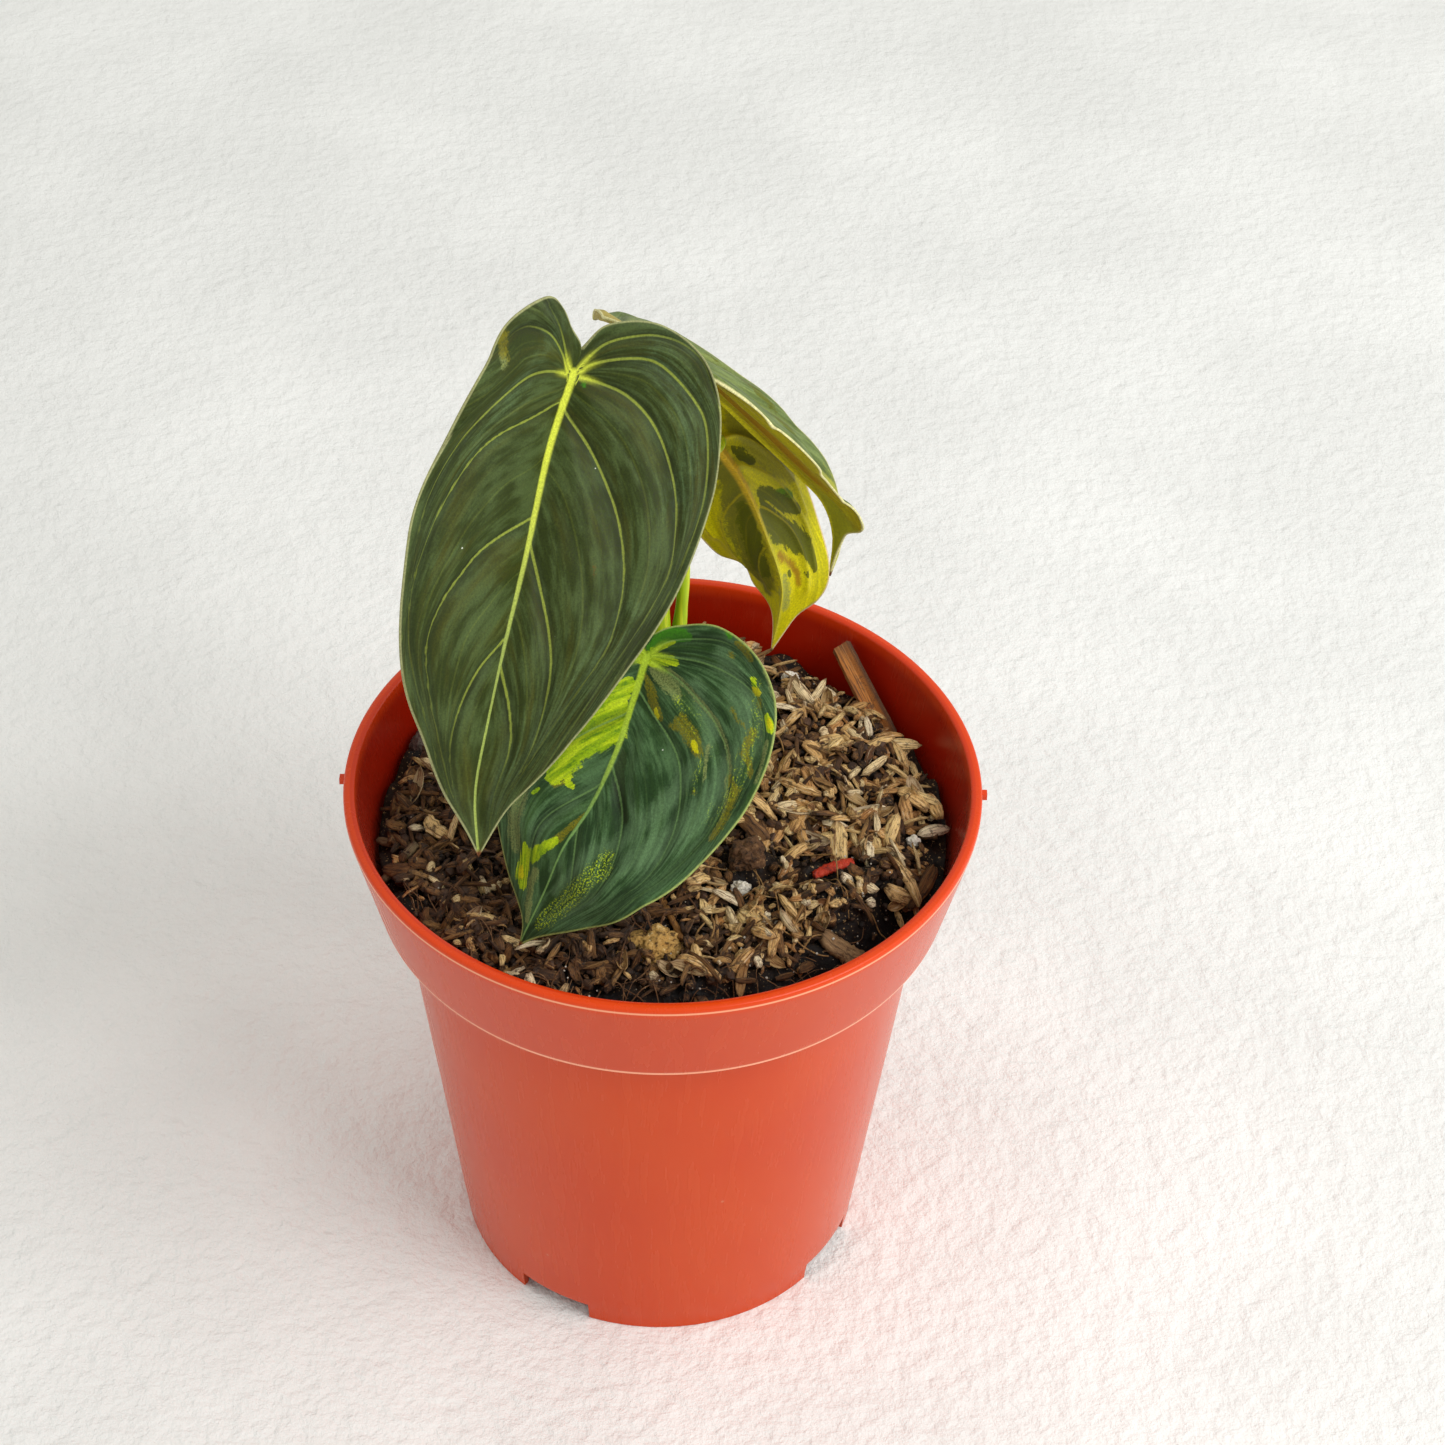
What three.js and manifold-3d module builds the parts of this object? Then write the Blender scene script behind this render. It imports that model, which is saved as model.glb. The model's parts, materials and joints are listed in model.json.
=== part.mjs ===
// A young black gold philodendron with four heart-shaped leaves, standing in a full nursery pot.
// Millimetres, +Z up. The origin is the middle of the pot's foot, on the surface that it stands on.
// +X is the right of the plant and -Y its front, the side that the large leaf faces.
import * as THREE from 'three';
import { ConvexGeometry } from 'three/addons/geometries/ConvexGeometry.js';
import { mergeVertices } from 'three/addons/utils/BufferGeometryUtils.js';
import Module from 'manifold-3d';

const wasm = await Module();
wasm.setup();

// Clearance between pieces that touch.
const GAP = 0.3;

// Thin-walled nursery pot of the 12 cm size. The floor stands above the surface on a skirt.
const POT = {
  segments: 60,
  rimRadius: 60,
  height: 113,
  lipWidth: 2.2,
  lipRound: 0.4,
  collarHeight: 22,
  collarFootRadius: 55.2,
  bodyTopRadius: 50.8,
  footRadius: 40.2,
  wall: 1.5,
  floorUnderside: 5,
  floorThickness: 1.6,
};
const COLLAR_FOOT_Z = POT.height - POT.collarHeight;
const FLOOR_TOP = POT.floorUnderside + POT.floorThickness;

// Notches in the skirt, with a drain slot through the floor behind each one.
const DRAIN = {
  count: 4,
  firstAngle: -30,
  notchWidth: 15.5,
  notchHeight: 4.5,
  slotWidth: 7,
  slotInner: 24,
  slotOuter: 36,
  centreRadius: 5,
};

// Two small moulding nubs stand out of the rim, left and right.
const NUB = { out: 1.1, width: 2, height: 1.6, below: 1.4 };

// Surface of the potting mix, and its fall into a gap along the front wall.
const MIX = {
  rings: [6, 12, 18, 24, 30, 36, 41, 45, 49, 53, 58.5],
  sectors: 40,
  level: 101,
  mound: { x: 22, y: 16, rise: 2.4, spread: 24 },
  clod: { x: 9, y: 46, rise: 4.5, spread: 6 },
  edgeFall: {
    from: 44, to: 55, depth: 1.6,
  },
  trench: {
    from: 42, to: 50, depth: 8,
    angle: -66, halfWidth: 58,
  },
  lumps: 9,
  lumpHeight: 0.55,
  lumpPitch: [0.28, 0.73],
};

// Loose litter that lies half sunk over the mix: rice hulls, bark chips and coir fibres. Each kind
// keeps to an arc of the pot, in degrees from +X, and reach is how far from the middle it lies.
const LITTER = {
  seed: 20,
  hulls: 80,
  hull: { length: 7.2, width: 2.3, thickness: 1.5 },
  chips: 32,
  chip: { length: 6.2, width: 2.8, thickness: 1.6 },
  fibres: 10,
  fibre: { length: 11, width: 0.9 },
  hullArc: { from: -76, span: 207 },
  barkArc: { from: 99, span: 270 },
  reach: 50,
  tilt: 40,
};

const LEAF_THICKNESS = 0.8;
const MIDRIB_RIDGE = 1.0;
const PLEAT_DEPTH = 0.7;

// Rows of a blade from its midrib to its margin, as shares of the way out.
const BLADE_ROWS = [0, 0.1, 0.38, 0.7, 1];

// Places of the lateral veins round a blade's outline, from 0 at the sinus to 1 at the tip.
const VEINS = [0.1, 0.24, 0.4, 0.53, 0.66, 0.78, 0.89];
const STEPS_PER_VEIN = 3;

// Share of the outline past which the veins leave the midrib and not the petiole's junction.
const BASAL_SHARE = 0.6;

// How the rays of a blade bow between the midrib and the outline, in tenths of the way round the
// outline: how many degrees a ray sets out behind its straight line, and how far out it turns.
const RAY_SWING = [0, 12, 26, 42, 54, 62, 54, 50, 45, 30, 15];
const RAY_REACH = [0.5, 0.5, 0.55, 0.66, 0.74, 0.8, 0.66, 0.5, 0.38, 0.28, 0.2];

// Each leaf: its midrib from the petiole's junction to the tip, the way its upper face looks at
// both ends (azimuth from the front towards +X, elevation up), the rise of its halves from the
// midrib, how they curl over outwards in degrees for each millimetre, how strongly the veins bow
// in the lobes and in the body, and the outline of each half as distance along the midrib and
// distance out from it. The first outline point is the sinus, and the tip ends the list.
const LEAVES = {
  leaf_large_front: {
    color: 0x3a4527,
    midrib: [
      [-16.1, -4.2, 209.5], [-20, -11.3, 198.4], [-23.3, -22.6, 184.9], [-26.4, -31.9, 173.5],
      [-29.3, -39.6, 161.1], [-31.2, -46, 151], [-30.4, -52.3, 141.9],
    ],
    faceBase: { azimuth: 30, elevation: 10 },
    faceTip: { azimuth: 13, elevation: 24 },
    fold: { base: 30, tip: 16 },
    curl: { left: [-0.3, -0.3], right: [-0.3, -0.3] },
    lobeLift: 5,
    veinBow: { left: [0.7, 1], right: [1.1, 1] },
    left: [
      [-4.5, 0], [-7.2, 5.2], [-12, 15], [-6.6, 25], [2, 26.3], [14.5, 27], [31, 27.8],
      [53, 19.9], [68.5, 9.8], [78, 3],
    ],
    right: [
      [-4.5, 0], [-9.8, 3], [-12.4, 11.5], [-8.6, 21], [1, 27.3], [14.5, 29.6], [33, 26.7],
      [54, 18.5], [70, 10.1], [78, 4.8],
    ],
    ruffle: 0.35,
  },
  leaf_small_front: {
    color: 0x2f5230,
    midrib: [
      [-2.9, -9.1, 150.9], [-5.3, -14.2, 144.1], [-8.1, -20, 137.2], [-12.2, -25.9, 129.8],
      [-17, -30.7, 123.8], [-20.4, -33, 114.9], [-25.1, -36.9, 104.8],
    ],
    faceBase: { azimuth: -12.5, elevation: 49 },
    faceTip: { azimuth: -47, elevation: 38 },
    fold: { base: 14, tip: -3 },
    curl: { left: [-0.39, -0.4], right: [-0.39, -0.4] },
    lobeLift: 8,
    veinBow: { left: [0.7, 0.7], right: [0.7, 0.7] },
    left: [
      [-4.4, 0], [-7.2, 4.2], [-9.4, 11.7], [-6.5, 20.2], [1, 26], [12.4, 28], [24.2, 25.5],
      [39.8, 17.4], [48.3, 10.3], [54.5, 2.2],
    ],
    right: [
      [-4.4, 0], [-7.2, 4.2], [-9.4, 11.7], [-6.5, 20.2], [1, 26], [12.4, 28], [24.2, 25.5],
      [40, 18], [48.6, 10.5], [55.5, 3],
    ],
    ruffle: 0.5,
  },
  leaf_rear_upper: {
    color: 0x5f6f45,
    midrib: [
      [-2.5, 13.3, 203.2], [3.6, 15.5, 197.6], [8.8, 17.4, 190.1], [15.9, 20.1, 179.7],
      [23.5, 22.1, 169.5], [28.7, 24.9, 160.6], [30.9, 25.8, 151.8], [30.3, 24.4, 143.2],
    ],
    faceBase: { azimuth: 133, elevation: 36.5 },
    faceTip: { azimuth: 96, elevation: 55.5 },
    fold: { base: 3, tip: 29 },
    curl: { left: [-0.52, -0.14], right: [-0.59, -0.19] },
    lobeLift: 1,
    veinBow: { left: [0.2, 0.2], right: [0.5, 0.5] },
    left: [
      [-3.6, 0], [-5.8, 3.2], [-7.4, 7.5], [-5.4, 12.5], [1, 15.8], [12, 21.5], [27.5, 22],
      [45.5, 11], [56.3, 9.7], [62, 3.2],
    ],
    right: [
      [-3.6, 0], [-5.4, 4], [-6.4, 9.5], [-3.4, 16.8], [3.6, 24], [14.6, 28.1], [28.6, 21.8],
      [45.2, 13.9], [56.6, 9.2], [62.6, 4.2],
    ],
    ruffle: 0.3,
  },
  leaf_rear_lower: {
    color: 0x8f9a26,
    midrib: [
      [7.6, 17.1, 180.3], [13.3, 20.1, 168.2], [17.9, 23.3, 153.5], [21.2, 26.9, 139.6],
      [21.3, 29.5, 129.8], [19.9, 30.9, 118.5],
    ],
    faceBase: { azimuth: 204.5, elevation: -7 },
    faceTip: { azimuth: 165, elevation: -42.5 },
    fold: { base: 43, tip: 39.5 },
    curl: { left: [-0.24, -0.14], right: [-0.28, -0.2] },
    lobeLift: 8,
    veinBow: { left: [0.15, 0.15], right: [0.4, 0.4] },
    left: [
      [-3.3, 0], [-4.6, 2.4], [-5.2, 5], [-3.2, 8], [2.5, 9.8], [12, 11.6], [27, 14.7],
      [43.2, 12.6], [53.6, 9.4], [57.2, 3.5],
    ],
    right: [
      [-3.3, 0], [-5.6, 3.2], [-7.8, 7.8], [-5.4, 14.2], [0.5, 18.4], [11.8, 20.2], [27.5, 15.4],
      [43.2, 12.7], [53.5, 9.5], [56.2, 2.6],
    ],
    ruffle: 0.4,
  },
};

// The stem, and the petioles that leave it: the points that each runs through, and its radii.
// A petiole's last points hook over to the junction of its blade.
const STEM_SIDES = 8;
const STEM = {
  path: [[1.5, -2, 74], [0.8, -1.4, 101], [-0.2, 0.4, 126], [-0.9, 1.8, 150], [-1.3, 3, 166]],
  radii: [1.5, 2.4, 2.3, 2, 1.6],
};
const PETIOLES = {
  leaf_large_front: {
    path: [[-1.2, 2.6, 160], [-2.6, 5.4, 178], [-8, 8.6, 193], [-16, 9.6, 203]],
    radii: [1.7, 1.45, 1.35, 1.3],
    hook: 5,
  },
  leaf_small_front: {
    path: [[0.4, -0.6, 112], [1.4, -2.4, 124], [0.6, -3.2, 137]],
    radii: [1.9, 1.5, 1.25],
    hook: 5,
  },
  leaf_rear_upper: {
    path: [[-1, 2.4, 150], [-2.2, 2.6, 166], [-5, 2.4, 183], [-7.4, 1.6, 195]],
    radii: [1.6, 1.3, 1.2, 1.15],
    hook: 6,
  },
  leaf_rear_lower: {
    path: [[1.2, 0.6, 136], [2.5, 2, 148], [3.2, 2.6, 158], [4.4, 2, 172]],
    radii: [2, 1.55, 1.1, 1.1],
    hook: 6,
  },
};

// Roots spread through the mix from the foot of the stem.
const ROOTS = {
  count: 4,
  start: [1.2, -1.8, 82],
  spacing: 1.5,
  length: 26,
  drop: 34,
  radii: [0.9, 0.72, 0.45],
  firstAngle: 20,
};

// Separate bits that lie on the mix. at is the middle in plan, sunk is how far its middle lies
// below the surface, size is length, width and height, turn and tip are degrees.
const BITS = {
  cork_chunk: {
    at: [-0.5, -32], sunk: 0.4, size: [9, 7.5, 5], turn: 15,
    tip: 4, color: 0xb08a4e, seed: 3, corners: 16,
  },
  bark_lump: {
    at: [16, -12], sunk: 0.3, size: [7.2, 6.2, 5.4], turn: 30,
    tip: 0, color: 0x5d4228, seed: 5, corners: 18,
  },
  stone: {
    at: [-47, 22], sunk: 0.6, size: [8.5, 6, 6], turn: 70,
    tip: 8, color: 0x6e5f57, seed: 8, corners: 14,
  },
  perlite_grain_1: {
    at: [15, -16.5], sunk: 0, size: [3.6, 3.2, 3], turn: 0,
    tip: 0, color: 0xe9e4da, seed: 11, corners: 14,
  },
  perlite_grain_2: {
    at: [47.5, -4], sunk: 0.1, size: [2.6, 2.4, 2.2], turn: 0,
    tip: 0, color: 0xe9e4da, seed: 12, corners: 12,
  },
  perlite_grain_3: {
    at: [24, 40], sunk: 0.1, size: [3.4, 2.8, 2.6], turn: 0,
    tip: 0, color: 0xe9e4da, seed: 13, corners: 12,
  },
};
const SLIPS = {
  plastic_shard: {
    from: [28.5, -14], to: [36, -10.3], rise: [0.5, 1.3],
    width: 2.2, thickness: 1, color: 0xc23a17,
  },
  bark_flake: {
    from: [29.5, -29], to: [39, -30.5], rise: [1.6, 1.2],
    width: 4.6, thickness: 1.8, color: 0x8a6a43,
  },
  twig_left: {
    from: [-54.2, -4.2], to: [-46.8, -7.6], rise: [0.9, 0.5],
    width: 1.8, thickness: 1.4, color: 0x86714f,
  },
  twig_front_left: {
    from: [-52.2, -15], to: [-46, -8.4], rise: [0.8, 2.4],
    width: 1.9, thickness: 1.4, color: 0x7d6747,
  },
  twig_front: {
    from: [-1, -18], to: [4.6, -31.5], rise: [0.9, 0.6],
    width: 1.3, thickness: 1, color: 0xa87438,
  },
};
const WOOD_STICK = {
  top: [34, 42.6, 110.6],
  foot: [43.4, 28.6, 99.4],
  width: 5.6,
  thickness: 3.2,
  color: 0xa06a3c,
};

// Corners of one end of a slip, as shares of half its length, width and thickness.
const SLIP_CORNERS = [
  [1, -0.65, 0], [1, 0.65, 0], [0.9, -1, 0.2], [0.86, 1, -0.2],
  [0.95, -0.4, 1], [0.93, 0.5, 1], [0.95, -0.4, -1], [0.93, 0.5, -1],
];

const COLORS = { pot: 0xc8452c, mix: 0x6b5035, stem: 0xb4cc1e };
const POT_ROUGHNESS = 0.38;
const LEAF_ROUGHNESS = 0.55;
const BARK_ROUGHNESS = 0.95;

const rad = THREE.MathUtils.degToRad;
const point = (p) => new THREE.Vector3(...p);

// Repeatable random numbers from 0 to 1.
function randomFrom(seed) {
  let state = seed * 2654435761;
  return () => {
    state = (state + 0x6d2b79f5) | 0;
    let t = Math.imul(state ^ (state >>> 15), 1 | state);
    t = (t + Math.imul(t ^ (t >>> 7), 61 | t)) ^ t;
    return ((t ^ (t >>> 14)) >>> 0) / 4294967296;
  };
}

function geometryFrom(positions, triangles) {
  const geometry = new THREE.BufferGeometry();
  geometry.setAttribute('position', new THREE.Float32BufferAttribute(positions, 3));
  geometry.setIndex(triangles);
  return geometry;
}

function solid(geometry) {
  const bare = geometry.clone();
  bare.deleteAttribute('normal');
  bare.deleteAttribute('uv');
  const welded = mergeVertices(bare, 1e-4);
  const vertProperties = new Float32Array(welded.attributes.position.array);
  const triVerts = new Uint32Array(welded.index.array);
  return new wasm.Manifold(new wasm.Mesh({ numProp: 3, vertProperties, triVerts }));
}

function fromSolid(body) {
  const mesh = body.getMesh();
  return geometryFrom(Array.from(mesh.vertProperties), Array.from(mesh.triVerts));
}

function placed(geometry, position, rotation = new THREE.Euler()) {
  const matrix = new THREE.Matrix4().makeRotationFromEuler(rotation);
  return geometry.applyMatrix4(matrix.setPosition(position.x, position.y, position.z));
}

function lathe(profile, segments) {
  const points = profile.map(([radius, z]) => new THREE.Vector2(radius, z));
  return new THREE.LatheGeometry(points, segments).rotateX(Math.PI / 2);
}

// Outer radius of the straight body wall at a height.
function bodyRadius(z) {
  return POT.footRadius + (POT.bodyTopRadius - POT.footRadius) * (z / COLLAR_FOOT_Z);
}

// The inside of the pot from the middle of the floor up to the rim, moved in by an inset.
function cavityProfile(inset) {
  const shoulder = COLLAR_FOOT_Z + POT.wall;
  const lipInner = POT.rimRadius - POT.lipWidth;
  const collarInner = POT.collarFootRadius - POT.wall;
  return [
    [0, FLOOR_TOP + inset],
    [bodyRadius(FLOOR_TOP) - POT.wall - inset, FLOOR_TOP + inset],
    [bodyRadius(COLLAR_FOOT_Z) - POT.wall - inset, shoulder + inset * 0.5],
    [collarInner - inset, shoulder + inset],
    [lipInner - inset, POT.height - POT.lipRound],
  ];
}

function makePot() {
  const { rimRadius, height, lipWidth, lipRound, collarFootRadius, footRadius, wall, floorUnderside } = POT;
  const profile = [
    [0, floorUnderside],
    [footRadius - wall, floorUnderside],
    [footRadius - wall, 0],
    [footRadius, 0],
    [POT.bodyTopRadius, COLLAR_FOOT_Z],
    [collarFootRadius - lipRound, COLLAR_FOOT_Z],
    [collarFootRadius, COLLAR_FOOT_Z + lipRound],
    [rimRadius, height - lipRound],
    [rimRadius - lipRound, height],
    [rimRadius - lipWidth + lipRound, height],
    ...cavityProfile(0).reverse(),
  ];
  let pot = solid(lathe(profile, POT.segments));
  for (let i = 0; i < DRAIN.count; i++) {
    const turn = new THREE.Matrix4().makeRotationZ(rad(DRAIN.firstAngle + (i * 360) / DRAIN.count));
    const notch = new THREE.BoxGeometry(10, DRAIN.notchWidth, DRAIN.notchHeight + 1);
    notch.translate(footRadius, 0, (DRAIN.notchHeight - 1) / 2).applyMatrix4(turn);
    const slot = new THREE.BoxGeometry(DRAIN.slotOuter - DRAIN.slotInner, DRAIN.slotWidth, 6);
    slot.translate((DRAIN.slotInner + DRAIN.slotOuter) / 2, 0, floorUnderside + 1).applyMatrix4(turn);
    pot = pot.subtract(solid(notch)).subtract(solid(slot));
  }
  const hole = new THREE.CylinderGeometry(DRAIN.centreRadius, DRAIN.centreRadius, 6, 16);
  pot = pot.subtract(solid(hole.rotateX(Math.PI / 2).translate(0, 0, floorUnderside + 1)));
  for (const side of [-1, 1]) {
    const nub = new THREE.BoxGeometry(NUB.out + 1, NUB.width, NUB.height);
    const middle = rimRadius + (NUB.out - 1) / 2;
    pot = pot.add(solid(nub.translate(side * middle, 0, height - NUB.below - NUB.height / 2)));
  }
  return fromSolid(pot);
}

const lumpRandom = randomFrom(7);
const LUMPS = Array.from({ length: MIX.lumps }, () => ({
  angle: lumpRandom() * Math.PI * 2,
  pitch: THREE.MathUtils.lerp(...MIX.lumpPitch, lumpRandom()),
  phase: lumpRandom() * Math.PI * 2,
}));

// Height of the mix's surface before the litter lies on it.
function mixHeight(x, y) {
  const bump = ({ x: bx, y: by, rise, spread }) => {
    const d2 = (x - bx) ** 2 + (y - by) ** 2;
    return rise * Math.exp(-d2 / (2 * spread * spread));
  };
  const radius = Math.hypot(x, y);
  const angle = THREE.MathUtils.radToDeg(Math.atan2(y, x));
  const { edgeFall, trench } = MIX;
  let z = MIX.level + bump(MIX.mound) + bump(MIX.clod);
  z -= edgeFall.depth * THREE.MathUtils.smoothstep(radius, edgeFall.from, edgeFall.to);
  const away = Math.abs(angle - trench.angle) / trench.halfWidth;
  const open = 1 - THREE.MathUtils.smoothstep(away, 0.65, 1);
  z -= trench.depth * open * THREE.MathUtils.smoothstep(radius, trench.from, trench.to);
  for (const { angle: a, pitch, phase } of LUMPS) {
    z += MIX.lumpHeight * Math.sin(pitch * (x * Math.cos(a) + y * Math.sin(a)) + phase);
  }
  return z;
}

// A round block whose top follows the mix's surface. Its side is cut to the pot afterwards.
function mixBlock() {
  const { rings, sectors } = MIX;
  const positions = [0, 0, mixHeight(0, 0), 0, 0, FLOOR_TOP];
  const last = rings.length - 1;
  for (const radius of rings) {
    for (let k = 0; k < sectors; k++) {
      const angle = (k / sectors) * Math.PI * 2;
      const x = radius * Math.cos(angle);
      const y = radius * Math.sin(angle);
      positions.push(x, y, mixHeight(x, y));
    }
  }
  for (let k = 0; k < sectors; k++) {
    const angle = (k / sectors) * Math.PI * 2;
    positions.push(rings[last] * Math.cos(angle), rings[last] * Math.sin(angle), FLOOR_TOP);
  }
  const at = (ring, k) => 2 + ring * sectors + (k % sectors);
  const triangles = [];
  for (let k = 0; k < sectors; k++) {
    triangles.push(0, at(0, k), at(0, k + 1));
    triangles.push(1, at(last + 1, k + 1), at(last + 1, k));
    for (let ring = 0; ring <= last; ring++) {
      const a = at(ring, k);
      const b = at(ring + 1, k);
      const c = at(ring + 1, k + 1);
      const d = at(ring, k + 1);
      triangles.push(a, b, c, a, c, d);
    }
  }
  return geometryFrom(positions, triangles);
}

// A boat-shaped hull: pointed at both ends, widest in the middle.
function hullShape({ length, width, thickness }) {
  const l = length / 2;
  const w = width / 2;
  const t = thickness / 2;
  const positions = [-l, 0, 0, l, 0, 0, 0, -w, 0, 0, w, 0, 0.2 * l, 0, t, 0, 0, -t];
  const triangles = [0, 2, 4, 2, 1, 4, 1, 3, 4, 3, 0, 4, 2, 0, 5, 1, 2, 5, 3, 1, 5, 0, 3, 5];
  return geometryFrom(positions, triangles);
}

// A split chip: a box whose corners are knocked out of square.
function chipShape({ length, width, thickness }, random) {
  const corners = [];
  for (const x of [-1, 1]) {
    for (const y of [-1, 1]) {
      for (const z of [-1, 1]) {
        const shrink = () => 0.62 + 0.38 * random();
        const corner = new THREE.Vector3(x * shrink(), y * shrink(), z * shrink());
        corners.push(corner.multiply(new THREE.Vector3(length / 2, width / 2, thickness / 2)));
      }
    }
  }
  return new ConvexGeometry(corners);
}

function litterPiece(kind, random) {
  const scale = 0.75 + 0.5 * random();
  if (kind === 'hull') {
    return hullShape(LITTER.hull).scale(scale, scale, 1);
  }
  if (kind === 'chip') {
    return chipShape(LITTER.chip, random).scale(scale, scale, 1);
  }
  const { length, width } = LITTER.fibre;
  return new THREE.BoxGeometry(length * scale, width, width);
}

// Hulls lie mostly on the right and back of the mix, bark and fibres on the left and front.
function makeLitter(block) {
  const random = randomFrom(LITTER.seed);
  let body = block;
  const kinds = [['hull', LITTER.hulls], ['chip', LITTER.chips], ['fibre', LITTER.fibres]];
  for (const [kind, count] of kinds) {
    for (let i = 0; i < count; i++) {
      const radius = LITTER.reach * Math.sqrt(random());
      const arc = kind === 'hull' ? LITTER.hullArc : LITTER.barkArc;
      const angle = rad(arc.from + arc.span * random());
      const x = radius * Math.cos(angle);
      const y = radius * Math.sin(angle);
      const tilt = () => rad(LITTER.tilt) * (random() - 0.5);
      const turn = new THREE.Euler(tilt(), tilt(), random() * Math.PI, 'ZYX');
      const place = new THREE.Vector3(x, y, mixHeight(x, y) + 0.1);
      body = body.add(solid(placed(litterPiece(kind, random), place, turn)));
    }
  }
  return body;
}

// Points of a rounded lump, drawn out to the given size.
function lumpGeometry({ size, seed, corners }, grow = 0) {
  const random = randomFrom(seed);
  const points = [];
  for (let i = 0; i < corners; i++) {
    const z = 1 - (2 * (i + 0.5)) / corners;
    const ring = Math.sqrt(1 - z * z);
    const angle = i * 2.4 + random() * 0.5;
    const reach = 0.86 + 0.2 * random();
    const direction = new THREE.Vector3(ring * Math.cos(angle), ring * Math.sin(angle), z);
    const half = new THREE.Vector3(...size).multiplyScalar(0.5 * reach).addScalar(grow);
    points.push(direction.multiply(half));
  }
  return new ConvexGeometry(points);
}

function bitGeometry(bit, grow = 0) {
  const [x, y] = bit.at;
  const turn = new THREE.Euler(0, rad(bit.tip), rad(bit.turn), 'ZYX');
  const place = new THREE.Vector3(x, y, mixHeight(x, y) + bit.size[2] * 0.25 - bit.sunk);
  return placed(lumpGeometry(bit, grow), place, turn);
}

// A slip of bark, wood or plastic from one point to another, six-sided in section, with blunt ends.
function slipBetween(from, to, width, thickness, grow = 0) {
  const along = to.clone().sub(from);
  const half = new THREE.Vector3(along.length(), width, thickness).multiplyScalar(0.5).addScalar(grow);
  const points = [];
  for (const end of [-1, 1]) {
    for (const [x, y, z] of SLIP_CORNERS) {
      points.push(new THREE.Vector3(end * x, y, z).multiply(half));
    }
  }
  const geometry = new ConvexGeometry(points);
  const xAxis = along.normalize();
  const yAxis = new THREE.Vector3(0, 0, 1).cross(xAxis).normalize();
  const zAxis = xAxis.clone().cross(yAxis);
  const middle = from.clone().add(to).multiplyScalar(0.5);
  return geometry.applyMatrix4(new THREE.Matrix4().makeBasis(xAxis, yAxis, zAxis).setPosition(middle));
}

function slipGeometry({ from, to, rise, width, thickness }, grow = 0) {
  const start = new THREE.Vector3(...from, mixHeight(...from) + rise[0]);
  const end = new THREE.Vector3(...to, mixHeight(...to) + rise[1]);
  return slipBetween(start, end, width, thickness, grow);
}

function stickGeometry(grow = 0) {
  const { foot, top, width, thickness } = WOOD_STICK;
  return slipBetween(point(foot), point(top), width, thickness, grow);
}

// A closed round rod through points, with a radius at each one.
function rod(points, radii, { sides = STEM_SIDES, steps = 4, grow = 0 } = {}) {
  const curve = new THREE.CatmullRomCurve3(points, false, 'catmullrom', 0.5);
  const count = (points.length - 1) * steps;
  const positions = [];
  const side = new THREE.Vector3(1, 0, 0);
  for (let i = 0; i <= count; i++) {
    const t = i / count;
    const centre = curve.getPoint(t);
    const tangent = curve.getTangent(t);
    const overrun = i === 0 ? -grow : i === count ? grow : 0;
    centre.addScaledVector(tangent, overrun);
    const place = t * (radii.length - 1);
    const low = Math.min(Math.floor(place), radii.length - 2);
    const radius = THREE.MathUtils.lerp(radii[low], radii[low + 1], place - low) + grow;
    side.addScaledVector(tangent, -side.dot(tangent)).normalize();
    const other = tangent.clone().cross(side);
    for (let k = 0; k < sides; k++) {
      const angle = (k / sides) * Math.PI * 2;
      const p = centre.clone().addScaledVector(side, radius * Math.cos(angle));
      positions.push(...p.addScaledVector(other, radius * Math.sin(angle)).toArray());
    }
  }
  const triangles = [];
  const at = (i, k) => i * sides + (k % sides);
  for (let i = 0; i < count; i++) {
    for (let k = 0; k < sides; k++) {
      triangles.push(at(i, k), at(i, k + 1), at(i + 1, k + 1), at(i, k), at(i + 1, k + 1), at(i + 1, k));
    }
  }
  for (let k = 1; k < sides - 1; k++) {
    triangles.push(at(0, 0), at(0, k + 1), at(0, k));
    triangles.push(at(count, 0), at(count, k), at(count, k + 1));
  }
  return geometryFrom(positions, triangles);
}

function faceVector({ azimuth, elevation }) {
  const a = rad(azimuth);
  const e = rad(elevation);
  return new THREE.Vector3(Math.cos(e) * Math.sin(a), -Math.cos(e) * Math.cos(a), Math.sin(e));
}

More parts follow.
